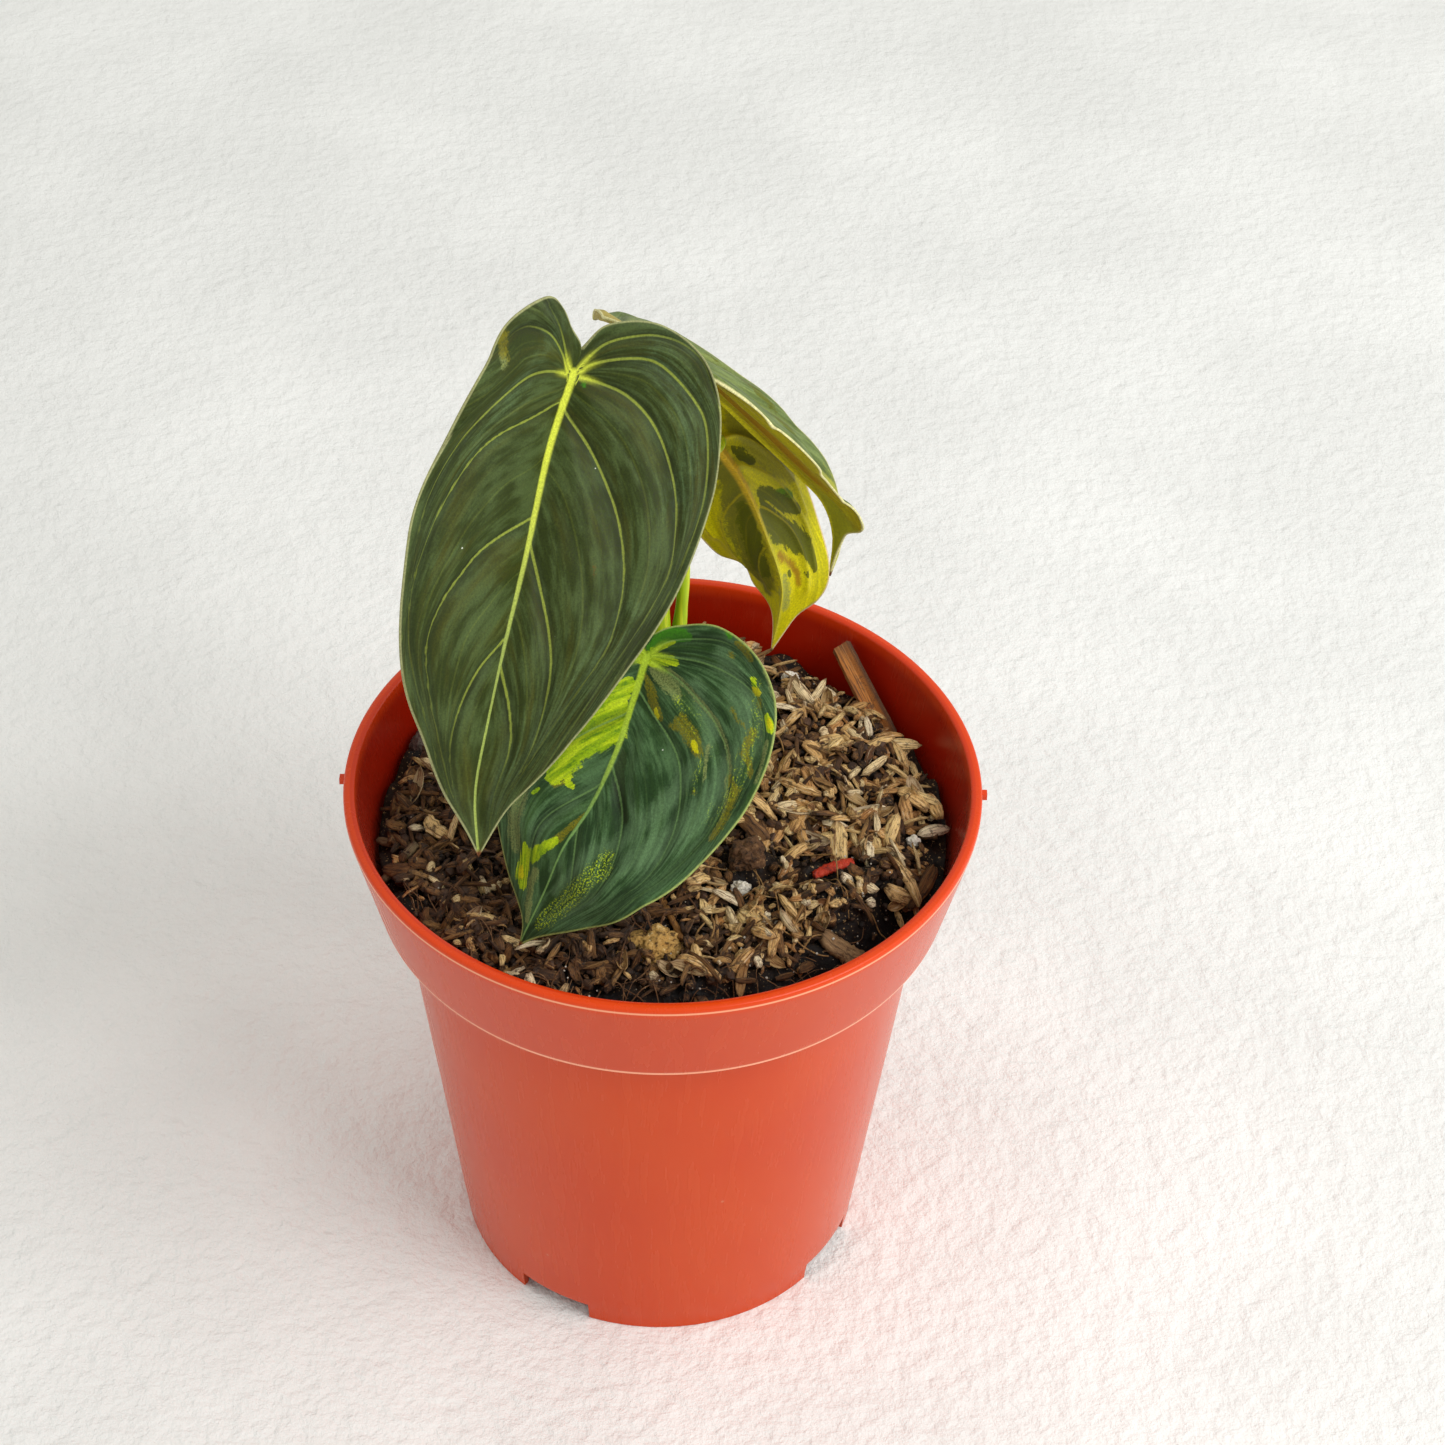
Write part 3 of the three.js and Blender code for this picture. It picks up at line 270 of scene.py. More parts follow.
# Variegation and marks, with painted light among them: the sheen strokes are painted sheen, the pleat strokes a
# painted shadow in a fold and the band a painted shadow of the leaf above. A patch: middle (along, out; left is
# negative), half sizes, turn, mark, strength. A stroke: mark, strength, points on its path (along, out, half width).
MARKS = {
    "leaf_large_front": [
        (-2.6, -24.2, 3.6, 1.3, 35, "ochre", 1.0), (-0.4, -23.2, 2.4, 0.9, 35, "pale", 1.0),
        (1.4, 2.6, 0.8, 0.8, 0, "green", 0.9),
        # Painted sheen: lighter grey-green strokes over both lobes and along the right margin.
        ("sheen", 0.5, [(-8, 12, 4), (-2, 20, 4), (8, 24, 3.4), (18, 24, 2.6)]),
        ("sheen", 0.5, [(-10, -8, 3.4), (-2, -13, 4), (8, -17, 3.4), (18, -20, 2.4)]),
        ("sheen", 0.4, [(36, 20, 3.4), (48, 15.5, 3.4), (60, 9.5, 3), (70, 4.5, 2)]),
        (33, 12, 3.0, 0.9, 10, "scar", 0.42), (47, 9.5, 2.6, 0.8, 0, "scar", 0.42),
        (40, 5, 2.4, 0.7, 20, "scar", 0.4), (58, 10.5, 3.0, 0.7, 0, "scar", 0.4),
        (10, 14, 2.6, 0.8, 45, "scar", 0.38),
    ],
    "leaf_small_front": [
        # Painted sheen: lighter grey-green strokes over the swells.
        ("sheen", 1.1, [(-5, 14, 1.6), (2, 20.5, 2.2), (9, 23, 2.2), (17, 21, 2.2), (25, 17.5, 2.2),
                        (33, 12.6, 1.8)]),
        ("sheen", 1.0, [(2, 11, 1.2), (9, 16.5, 1.4), (17, 15, 1.6), (26, 11.5, 1.6), (36, 5.4, 1.3),
                        (46, 2.2, 0.9)]),
        ("sheen", 0.9, [(42, 9.5, 1.6), (48, 6, 1.4)]), ("sheen", 0.8, [(30, -3, 1.2), (38, -6.4, 1.4)]),
        # Painted light at the fold: the sheen stroke is its painted highlight, the pleat stroke its painted shadow.
        ("sheen", 0.9, [(16, 2.2, 0.4), (18.9, 4, 0.7), (21.7, 5, 0.8), (24.3, 6.4, 0.7), (27, 9.2, 0.5)]),
        ("pleat", 1.0, [(17.6, 1.2, 0.5), (20.7, 1.7, 0.6), (23.6, 3, 0.7), (25.7, 5, 0.7), (27.7, 7.2, 0.5)]),
        ("lime", 1.2, [(5.5, -1.6, 0.9), (8.5, -3, 1.4), (11.3, -2.2, 1.9), (14.4, -2, 1.9), (17.4, -3.4, 1.6)]),
        ("lime", 1.2, [(10, -4, 2.4), (15, -5.2, 2.8), (18.1, -6.6, 2.8), (21.7, -8.2, 2.6), (24.6, -8.6, 2.2),
                       (27.2, -8.9, 1.3)]),
        ("pale", 1.0, [(14.4, -1.2, 0.9), (16.3, -2.5, 1), (18.3, -4, 0.75)]),
        ("ochre", 0.9, [(16, -2, 0.46), (17.6, -3.5, 0.56), (18.6, -3.7, 0.42)]),
        ("ochre", 0.8, [(28.8, -7.9, 0.53), (26.7, -6.2, 0.44)]),
        ("lime", 1.0, [(27.2, -5.5, 0.35), (27.2, -4.7, 0.3)]),
        ("lime", 0.9, [(31.7, -10.2, 0.4), (33, -10.7, 0.35)]),
        ("ochre", 1.0, [(30.6, -0.2, 0.3), (33.2, -0.7, 0.45), (36.1, -1.4, 0.6), (38.7, -2.7, 0.65)]),
        ("lime", 1.1, [(37.4, -2, 0.45), (39.5, -3.2, 0.7), (41.3, -4.2, 0.95), (43.4, -5.5, 1.15)]),
        ("lime", 1.1, [(42.1, -7.7, 0.3), (44.4, -6.9, 0.9), (46.3, -6.4, 1.1), (48.1, -6.2, 0.9),
                       (49.4, -5, 0.5)]),
        ("yellow", 1.0, [(46.8, -6.7, 0.42), (48.3, -6, 0.47)]),
        ("pale", 1.1, [(45, -3.2, 0.75), (47.8, -3.5, 0.83), (49.9, -2.7, 0.73), (52, -1.7, 0.62),
                       (54.1, -0.7, 0.42)]),
        ("pale", 1.0, [(35, -12.4, 1.4), (40, -11.6, 1.6), (44, -9.6, 1.2)]),
        ("ochre", 1.0, [(8.7, 10.7, 1.3), (10.8, 13.1, 1.6), (12.9, 14.9, 1.15), (13.4, 15.9, 0.52)]),
        ("yellow", 0.9, [(12.1, 14.1, 0.64), (13.1, 14.9, 0.53)]),
        ("ochre", 0.8, [(10.3, 8.7, 0.67), (10.5, 10.9, 0.67)]),
        ("ochre", 0.75, [(18.9, 16.9, 0.51), (18.9, 17.6, 0.5)]),
        ("pale", 0.9, [(7.4, 17.1, 0.36), (9.7, 19.1, 0.45), (12.6, 20.8, 0.39), (14.7, 22.1, 0.4)]),
        ("ochre", 0.9, [(15.2, 22.1, 0.4), (16.8, 24.1, 0.82), (18.9, 24.3, 0.72), (21.5, 24.1, 0.57),
                        (23.8, 23.6, 0.64)]),
        ("pale", 1.0, [(15.7, 21.8, 0.31), (18.1, 23.3, 0.3), (21.5, 23.8, 0.32), (24.1, 23.3, 0.4)]),
        ("ochre", 0.9, [(6.6, 23.6, 0.71), (7.9, 23.6, 0.89), (10.8, 23.3, 0.85), (12.9, 25.1, 0.43),
                        (14.2, 25.8, 0.32)]),
        ("pale", 0.9, [(7.4, 26.5, 0.3), (10, 26.8, 0.35), (12.9, 27, 0.35), (14.7, 27, 0.35)]),
        ("pale", 0.8, [(11.6, 16.6, 0.37), (14.7, 17.4, 0.3), (16.8, 18.1, 0.3)]),
        ("fleck", 1.0, [(34.3, 8.4, 0.95), (36.3, 9.2, 1.2), (38.4, 7.7, 1), (42.9, 6, 1.4), (47, 4.7, 1.2),
                        (50.4, 3, 1.4), (53.3, 2, 0.8)]),
        ("fleck", 0.4, [(5, 8.5, 1.2), (9, 12.5, 2), (14, 16, 1.8), (19, 17, 1.2)]),
        ("fleck", 0.42, [(-2, 21, 1.2), (6, 24, 1.6), (14, 24, 2), (22, 22.5, 1.6)]),
        ("lime", 1.2, [(0.1, -0.7, 0.93), (0.1, 0.7, 0.98), (-0.4, 2.7, 0.83), (-0.7, 4.5, 0.7),
                       (-0.7, 5.7, 0.38)]),
        ("green", 1.2, [(-1.7, 0, 0.5), (-3.6, 1.5, 1.1), (-5.4, 3.5, 1.3), (-5.9, 5.5, 1), (-5.9, 6.9, 0.5)]),
        ("lime", 0.85, [(-1.5, 0.5, 0.3), (-2.5, 2.2, 0.3), (-4.1, 4.2, 0.3)]),
        ("pale", 1.1, [(1.9, 1.7, 0.6), (2.7, 3.7, 1.05), (3.7, 6.4, 1.04), (4.8, 8.2, 0.67)]),
        ("ochre", 1.1, [(3.2, 1, 0.4), (5.3, 2.7, 0.75), (7.4, 4.2, 0.9), (9.2, 5.5, 0.7), (9.7, 6.4, 0.35)]),
        ("ochre", 0.95, [(9.2, 9.7, 0.71), (9.7, 11.9, 1.09), (10.3, 13.6, 0.92)]),
        ("yellow", 0.8, [(8.4, 4.7, 0.35), (9.7, 5.7, 0.35)]),
        ("pale", 1.0, [(0.9, 4.7, 0.3), (1.9, 7.4, 0.35), (3.5, 10.7, 0.35), (5.3, 14.1, 0.35), (7.1, 16.9, 0.3)]),
        ("green", 0.9, [(-9, 13.6, 0.4), (-8.5, 14.4, 0.45)]),
        ("ochre", 0.95, [(-7.5, 16.4, 0.55), (-6.7, 17.9, 0.7), (-5.7, 19.3, 0.5)]),
        ("ochre", 0.75, [(-5.4, 15.1, 0.4), (-5.1, 16.1, 0.4)]),
        ("lime", 0.9, [(-2.3, 20.6, 0.35), (-1.2, 21.3, 0.35)]),
        ("yellow", 1.0, [(-0.7, 21.3, 0.44), (-0.2, 22.1, 0.51)]),
        ("ochre", 0.85, [(0.9, 22.6, 0.4), (2.2, 23.3, 0.4)]),
        ("lime", 1.0, [(3.2, 25.1, 0.4), (4.3, 26, 0.5), (5.3, 26.5, 0.5)]),
        ("yellow", 0.9, [(3.7, 25.6, 0.3), (4.8, 26.3, 0.35)]),
        ("pale", 0.8, [(-4.6, 22.3, 0.36), (-2.8, 23.6, 0.33), (-0.2, 25.1, 0.3)]),
        ("ochre", 0.7, [(3.7, 18.9, 0.58), (5.3, 20.1, 0.58), (6.1, 22.3, 0.43)]),
    ],
    "leaf_rear_upper": [
        (34.6, 15.4, 5.8, 1.3, -32, "dark", 0.95), (41, 9.6, 5.0, 1.0, -10, "dark", 0.8),
        (25, 21, 6.0, 1.4, -24, "dark", 0.6), (36, -12.2, 2.2, 0.7, 0, "scar", 0.9),
        (-3.8, 11.0, 5.0, 9.5, 20, "tan", 1.2), (26, -6.6, 14, 3.0, -12, "brown", 1.1),
        (36, -8.6, 8, 2.2, -12, "brown", 1.0), (64, -1.5, 13, 5.5, 0, "tail", 1.2),
        (60, 3.0, 10, 4.0, 0, "tail", 1.1),
    ],
    "leaf_rear_lower": [
        # Painted shadow: a darker olive band along the top, where the leaf above shades this one.
        ("band", 1.1, [(4.4, -7.3, 2.4), (9.5, -7.9, 2.6), (14.8, -8.5, 2.4), (20.3, -9.9, 1.9),
                       (25.9, -11.8, 1.1)]),
        ("olive", 0.85, [(4, 3, 3.0), (14.6, 2.4, 2.6), (24, 3.6, 3.2), (33.1, 4.6, 3.2), (43.5, 4.5, 2.6),
                         (51.6, 3.9, 1.2)]),
        ("dark", 1.0, [(21.3, 1.9, 1.65), (27.6, 2.9, 2), (35.8, 3.7, 2), (43, 3.7, 1.6)]),
        ("dark", 0.9, [(7.3, -2.6, 0.7), (10.2, -3.6, 1.3), (12.6, -4.3, 0.9), (14.6, -5.6, 0.35)]),
        ("dark", 1.1, [(20.3, -2.8, 0.8), (23.2, -5, 1.1), (25.9, -5.9, 1.3), (30, -7.8, 1.3), (33.3, -9.5, 0.8)]),
        ("dark", 1.15, [(23, -1.6, 1.3), (27.6, -2.5, 1.8), (33.6, -4.2, 2.1), (37.9, -6.2, 2), (41.8, -7.6, 1.4),
                        (44.9, -7.9, 0.8), (47.6, -7.9, 0.3)]),
        ("green", 1.1, [(25.4, -7, 0.9), (27.3, -8.4, 1.1), (29, -9.3, 0.7)]),
        ("dark", 0.9, [(44.2, -2.3, 0.7), (45.1, -2.5, 0.6)]),
        ("dark", 0.9, [(46.6, -5.7, 0.45), (47.3, -5.9, 0.4)]),
        ("brown", 0.8, [(37.2, -1.6, 0.7), (42, -3.1, 0.7), (45.9, -4.2, 0.65), (48.8, -3.9, 0.5)]),
        ("pale", 1.0, [(43.5, -1.1, 0.8), (48, -0.6, 1.2), (53.3, -0.9, 0.9)]),
    ],
}
STROKE_SPARE = 0.18  # added to a stroke's half width for what its ragged rim takes off


# ---- Stem and petioles ----
STEM = {
    "path": [(1.5, -2, 74), (0.8, -1.4, 101), (-0.2, 0.4, 126), (-0.9, 1.8, 150), (-1.3, 3, 166)],
    "radii": [1.5, 2.4, 2.3, 2, 1.6],
}
PETIOLES = {
    "leaf_large_front": {
        "path": [(-1.2, 2.6, 160), (-2.6, 5.4, 178), (-8, 8.6, 193), (-16, 9.6, 203)],
        "radii": [1.7, 1.45, 1.35, 1.3],
        "hook": 5,
    },
    "leaf_small_front": {
        "path": [(0.4, -0.6, 112), (1.4, -2.4, 124), (0.6, -3.2, 137)],
        "radii": [1.9, 1.5, 1.25],
        "hook": 5,
    },
    "leaf_rear_upper": {
        "path": [(-1, 2.4, 150), (-2.2, 2.6, 166), (-5, 2.4, 183), (-7.4, 1.6, 195)],
        "radii": [1.6, 1.3, 1.2, 1.15],
        "hook": 6,
    },
    "leaf_rear_lower": {
        "path": [(1.2, 0.6, 136), (2.5, 2, 148), (3.2, 2.6, 158), (3.4, 4.2, 170), (4.2, 9.4, 178)],
        "radii": [2, 1.55, 1.1, 1.1, 1.1],
        "hook": 1.6,
    },
}


# ------------------------------------------------------------------ colours, nodes and meshes

TIMES, PLUS, MINUS, LENGTH = ({"operation": name} for name in ("MULTIPLY", "ADD", "SUBTRACT", "LENGTH"))
SMOOTH = {"interpolation_type": "SMOOTHSTEP"}


def linear(hex_colour):
    """A linear RGBA colour from an sRGB hex value."""
    channels = [int(hex_colour[i:i + 2], 16) / 255 for i in (1, 3, 5)]
    return [c / 12.92 if c <= 0.04045 else ((c + 0.055) / 1.055) ** 2.4 for c in channels] + [1.0]


def add_node(tree, kind, inputs=(), out=0, **settings):
    """Adds a node with its settings and links and gives one of its outputs, or all of them where out is None.

    The inputs come in their order, or by name or number. A socket is linked and any other value is set.
    """
    node = tree.nodes.new(kind if "Node" in kind else "ShaderNode" + kind)
    for name, value in settings.items():
        setattr(node, name, value)
    for key, value in inputs.items() if isinstance(inputs, dict) else enumerate(inputs):
        socket = node.inputs[key]
        if isinstance(value, bpy.types.NodeSocket):
            tree.links.new(value, socket)
        else:
            socket.default_value = linear(value) if str(value).startswith("#") else value
    return node.outputs if out is None else node.outputs[out]


def start_material(name):
    """An empty material, and what adds nodes to it."""
    material = bpy.data.materials.new(name)
    material.use_nodes = True
    material.node_tree.nodes.clear()
    return material, partial(add_node, material.node_tree)


def share_of(add, *parts):
    """The product of several shares: each is a value with the bounds that it is read between, or a bare value."""
    total = 1.0
    for value, *bounds in parts:
        value = add("MapRange", (value, *bounds), **SMOOTH) if bounds else value
        total = add("Math", (total, value), **TIMES)
    return total


def paint(add, colour, *layers):
    """Lays tints over a colour. A layer: what says where, the bounds that it is read between if any, the tint."""
    for value, *bounds, tint in layers:
        value = add("MapRange", (value, *bounds), **SMOOTH) if bounds else value
        colour = add("Mix", {0: value, 6: colour, 7: tint}, 2, data_type="RGBA")
    return colour


def weighted(add, *parts):
    """The sum of several values, each times its weight."""
    total = 0.0
    for value, weight in parts:
        total = add("Math", (value, weight, total), operation="MULTIPLY_ADD")
    return total


def finish_material(add, colour, roughness, relief, skin):
    """The shader on its own sockets. Relief: height, its depth in metres, strength."""
    normal = add("Bump", dict(zip(("Height", "Distance", "Strength"), relief)))
    shader = add("BsdfPrincipled", {"Base Color": colour, "Roughness": roughness, "Normal": normal, **skin})
    add("OutputMaterial", (shader,), None)


def start_group(name, *sockets):
    """A Geometry Nodes group with named inputs after the mesh: its tree, what adds nodes, and those inputs."""
    tree = bpy.data.node_groups.new(name, "GeometryNodeTree")
    for label, kind, *default in (("Geometry", "Geometry"), *sockets):
        socket = tree.interface.new_socket(label, in_out="INPUT", socket_type="NodeSocket" + kind)
        if default:
            socket.default_value = default[0]
    tree.interface.new_socket("Geometry", in_out="OUTPUT", socket_type="NodeSocketGeometry")
    add = partial(add_node, tree)
    return tree, add, add("NodeGroupInput", out=None)


def finish_group(add, geometry, material):
    real = add("GeometryNodeRealizeInstances", (geometry,))
    painted = add("GeometryNodeSetMaterial", {"Geometry": real, "Material": material})
    add("NodeGroupOutput", (painted,), None)


def bake(obj, tree, values, name):
    """Runs a node group on obj and keeps the result as a plain mesh object of its own."""
    modifier = obj.modifiers.new(tree.name, "NODES")
    modifier.node_group = tree
    sockets = {i.name: i.identifier for i in tree.interface.items_tree if getattr(i, "in_out", "") == "INPUT"}
    for label, value in values.items():
        modifier[sockets[label]] = value
    graph = bpy.context.evaluated_depsgraph_get()
    graph.update()
    mesh = bpy.data.meshes.new_from_object(obj.evaluated_get(graph))
    obj.modifiers.remove(modifier)
    return linked(name, mesh)


def linked(name, data):
    """An object at the origin, in the scene."""
    data.name = name
    obj = bpy.data.objects.new(name, data)
    bpy.context.scene.collection.objects.link(obj)
    return obj


def mesh_from(name, vertices, faces):
    """A mesh whose vertices are given in millimetres."""
    mesh = bpy.data.meshes.new(name)
    mesh.from_pydata((np.asarray(vertices, float) * MM).tolist(), [], [list(map(int, f)) for f in faces])
    mesh.validate()
    mesh.update()
    return mesh


def mesh_object(name, vertices, faces, smooth=True):
    mesh = mesh_from(name, vertices, faces)
    mesh.shade_smooth() if smooth else mesh.shade_flat()
    return linked(name, mesh)


def set_values(mesh, **fields):
    """Named attributes with one value or vector for each vertex."""
    for name, values in fields.items():
        values = np.ascontiguousarray(values, np.float32)
        flat = values.ndim == 1
        attribute = mesh.attributes.new(name, "FLOAT" if flat else "FLOAT_VECTOR", "POINT")
        attribute.data.foreach_set("value" if flat else "vector", values.ravel())


def drop(*objects):
    for obj in objects:
        bpy.data.objects.remove(obj, do_unlink=True)


def finish_piece(obj, *nodes, slot, material=None):
    """The piece has its material, rides on the one body and stands for these nodes. The slot is not used."""
    if material:
        obj.data.materials.append(material)
    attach(obj, "root")
    if nodes:
        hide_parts(*nodes)


def smoothstep(x, low, high):
    t = np.clip((np.asarray(x, float) - low) / (high - low), 0, 1)
    return t * t * (3 - 2 * t)


def lerp(a, b, t):
    return a + (b - a) * t


# ------------------------------------------------------------------ curves

def space_curve(points, per):
    """Uniform Catmull-Rom curve through points, its end points extended in line."""
    p = np.asarray(points, float)
    p = np.vstack([2 * p[0] - p[1], p, 2 * p[-1] - p[-2]])
    return catmull(p, per)


def flat_curve(points, per):
    """Uniform Catmull-Rom curve through points, its end points repeated."""
    p = np.asarray(points, float)
    return catmull(np.vstack([p[:1], p, p[-1:]]), per)


def catmull(p, per):
    t = np.linspace(0, 1, per, endpoint=False)[:, None]
    rows = []
    for p0, p1, p2, p3 in zip(p, p[1:], p[2:], p[3:]):
        v0, v1 = (p2 - p0) / 2, (p3 - p1) / 2
        rows.append((2 * p1 - 2 * p2 + v0 + v1) * t ** 3 + (3 * p2 - 3 * p1 - 2 * v0 - v1) * t ** 2 + v0 * t + p1)
    return np.vstack(rows + [p[-2:-1]])


def unit(v):
    return v / np.linalg.norm(v, axis=-1, keepdims=True)


def along_lengths(points):
    """Distance along a polyline at each of its points."""
    return np.concatenate([[0], np.cumsum(np.linalg.norm(np.diff(points, axis=0), axis=1))])


def face_vector(azimuth, elevation):
    a, e = math.radians(azimuth), math.radians(elevation)
    return np.array([math.cos(e) * math.sin(a), -math.cos(e) * math.cos(a), math.sin(e)])


# ------------------------------------------------------------------ leaf blades

class BladeForm:
    """The curved surface of one leaf, and the places on its flat blade."""

    def __init__(self, leaf):
        self.leaf = leaf
        self.curve = space_curve(leaf["midrib"], 60)
        self.stations = along_lengths(self.curve)
        self.length = self.stations[-1]
        self.tangents = unit(np.gradient(self.curve, self.stations, axis=0))
        self.faces = [face_vector(*f) for f in leaf["face"]]
        self.outline = {
            side: flat_curve(leaf["outline"][side] + [(self.length, 0)], 60) for side in ("left", "right")
        }

    def frame(self, u):
        along = np.clip(u, 0, self.length)
        pick = lambda rows: np.stack([np.interp(along, self.stations, rows[:, k]) for k in range(3)], -1)
        centre, tangent = pick(self.curve), unit(pick(self.tangents))
        share = (along / self.length)[..., None]
        normal = lerp(self.faces[0], self.faces[1], share)
        normal = unit(normal - (normal * tangent).sum(-1, keepdims=True) * tangent)
        return centre, tangent, normal, np.cross(normal, tangent), share[..., 0]

    def at(self, u, w, side, lift):
        """Where (u along, w out) on a half lies in space, lifted off the surface."""
        leaf = self.leaf
        sign = -1.0 if side == "left" else 1.0
        centre, tangent, normal, across, share = self.frame(u)
        fold = np.radians(lerp(*leaf["fold"], share))
        curl = np.radians(lerp(*leaf["curl"][side], share))
        angle = fold + curl * w
        reach = (np.sin(angle) - np.sin(fold)) / curl
        rise = (np.cos(fold) - np.cos(angle)) / curl
        # Next to the midrib the normal turns smoothly from one half's to the other's.
        turned = angle * smoothstep(w, 0, 2.5)
        outward = np.cos(turned)[..., None] * normal - sign * np.sin(turned)[..., None] * across
        back = np.minimum(u, 0)
        lobe = math.radians(leaf["lobe_lift"])
        point = centre + sign * reach[..., None] * across
        point += (rise - back * math.sin(lobe))[..., None] * normal
        point += (back * math.cos(lobe))[..., None] * tangent
        return point + np.asarray(lift)[..., None] * outward

    def place(self, s, t, side):
        """Flat place of the ray s round the outline, t of the way from the midrib out."""
        outline = self.outline[side]
        foot_u = self.length * np.maximum(0, (s - BASAL_SHARE) / (1 - BASAL_SHARE)) ** 3
        foot = np.stack([foot_u, np.zeros_like(foot_u)], -1)
        place = s * (len(outline) - 1)
        low = np.clip(place.astype(int), 0, len(outline) - 2)
        end = lerp(outline[low], outline[low + 1], (place - low)[..., None])
        straight = end - foot
        tenths = np.arange(11) / 10
        swing = np.radians(np.interp(s, tenths, RAY_SWING))
        bow = lerp(*self.leaf["bow"][side], smoothstep(s, 0.15, 0.5))
        heading = np.minimum(np.arctan2(straight[..., 1], straight[..., 0]) + swing * bow, math.pi)
        reach = np.linalg.norm(straight, axis=-1) * np.interp(s, tenths, RAY_REACH)
        turn = foot + reach[..., None] * np.stack([np.cos(heading), np.sin(heading)], -1)
        t = t[..., None]
        return foot * (1 - t) ** 2 + turn * 2 * t * (1 - t) + end * t * t

    def primary_veins(self, side):
        if "veins" in self.leaf:
            return [space_curve(path, 12) for path in self.leaf["veins"][side]]
        t = np.linspace(0.03, 0.93, 40)
        return [self.place(np.full_like(t, s), t, side) for s in self.leaf["rays"]]


def resample(path, count):
    stations = along_lengths(path)
    at = np.linspace(0, stations[-1], count)
    return np.stack([np.interp(at, stations, path[:, k]) for k in range(path.shape[1])], -1)


def to_paths(points, paths):
    """Each point's distance to the nearest path, how much of the path is passed there, and the path's side.

    The side is true where the point lies towards the leaf's tip.
    """
    best = np.full(len(points), 1e9)
    passed, tipward = np.zeros(len(points)), np.zeros(len(points), bool)
    for path in paths:
        for k, (a, b) in enumerate(zip(path, path[1:])):
            ab = b - a
            t = np.clip(((points - a) * ab).sum(-1) / max(ab @ ab, 1e-9), 0, 1)
            offset = points - (a + t[:, None] * ab)
            d = np.linalg.norm(offset, axis=-1)
            closer = d < best
            best = np.where(closer, d, best)
            passed = np.where(closer, (k + t) / (len(path) - 1), passed)
            tipward = np.where(closer, ab[0] * offset[:, 1] - ab[1] * offset[:, 0] < 0, tipward)
    return best, passed, tipward


def between(paths, k):
    """Paths that run between each neighbouring two, k of the way from one to the next."""
    even = [resample(p, 48) for p in paths]
    return [lerp(a, b, k) for a, b in zip(even, even[1:])]


def drawn_out(path):
    """A vein's path carried on past the midrib and past the margin, so that it parts the whole half."""
    return np.vstack([path[0] - unit(path[1] - path[0]) * 6, path, path[-1] + unit(path[-1] - path[-2]) * 30])


def vein_phase(points, veins, margin=8.0):
    """A number that is whole on each main vein and runs evenly between them, and their local spacing."""
    distance, _, tipward = zip(*(to_paths(points, [drawn_out(resample(vein, 40))]) for vein in veins))
    distance = np.stack(distance)
    passed = np.cumprod(np.stack(tipward).astype(int), axis=0).sum(0)
    last = len(veins) - 1
    column = np.arange(len(points))
    before = np.where(passed > 0, distance[np.clip(passed - 1, 0, last), column], margin)
    after = np.where(passed <= last, distance[np.clip(passed, 0, last), column], margin)
    spacing = before + after
    return passed - 1 + before / np.maximum(spacing, 1e-6), spacing


def blade_half(form, side, columns, rows):
    """Flat places of one half's grid and their distances to its veins, midrib and margin."""
    s = np.linspace(0, 1, columns + 1)
    t = np.linspace(0, 1, rows + 1) ** 0.92
    grid_s, grid_t = np.meshgrid(s, t, indexing="ij")
    flat = form.place(grid_s, grid_t, side)
    flat[0, :, 1] = 0
    flat[-1] = (form.length, 0)
    points = flat.reshape(-1, 2)
    u, w = points.T
    main = form.primary_veins(side)
    vein, vein_share, _ = to_paths(points, [resample(p, 40) for p in main])
    second, *_ = to_paths(points, between(main, 0.5))
    phase, spacing = vein_phase(points, main)
    edge, *_ = to_paths(points, [form.outline[side][::6]])
    return {
        "s": grid_s.ravel(), "t": grid_t.ravel(), "u": u, "w": w, "vein": vein, "vein_share": vein_share,
        "second": second, "phase": phase, "spacing": spacing, "edge": edge,
        "rib": np.where(u < 0, np.hypot(u, w), w), "shape": grid_s.shape,
    }


def blade_lift(half, leaf, side):
    """Swelling between the veins, grooves along them, deeper creases and a slight ruffle at the margin."""
    nearest = np.minimum(half["vein"], half["rib"] * 0.8)
    swell = PLEAT_DEPTH * (1 - np.exp(-(nearest / 3.2) ** 2))
    groove = 0.3 * np.exp(-(half["vein"] / 0.75) ** 2) + 0.16 * np.exp(-(half["second"] / 0.6) ** 2)
    swell *= 1 - 0.75 * smoothstep(half["t"], 0.8, 1)
    wave = leaf["ruffle"] * np.sin(half["s"] * 26) * half["t"] ** 3 * (1 - half["s"])
    fade = smoothstep(half["t"], 0, 0.06)
    lift = (swell - groove) * fade + wave
    for path, depth, width in leaf.get("dents", {}).get(side, ()):
        away, share, _ = to_paths(np.stack([half["u"], half["w"]], -1), [space_curve(path, 8)])
        lift = lift - depth * np.sin(np.pi * np.clip(share, 0.02, 0.98)) * np.exp(-(away / width) ** 2) * fade
    return lift


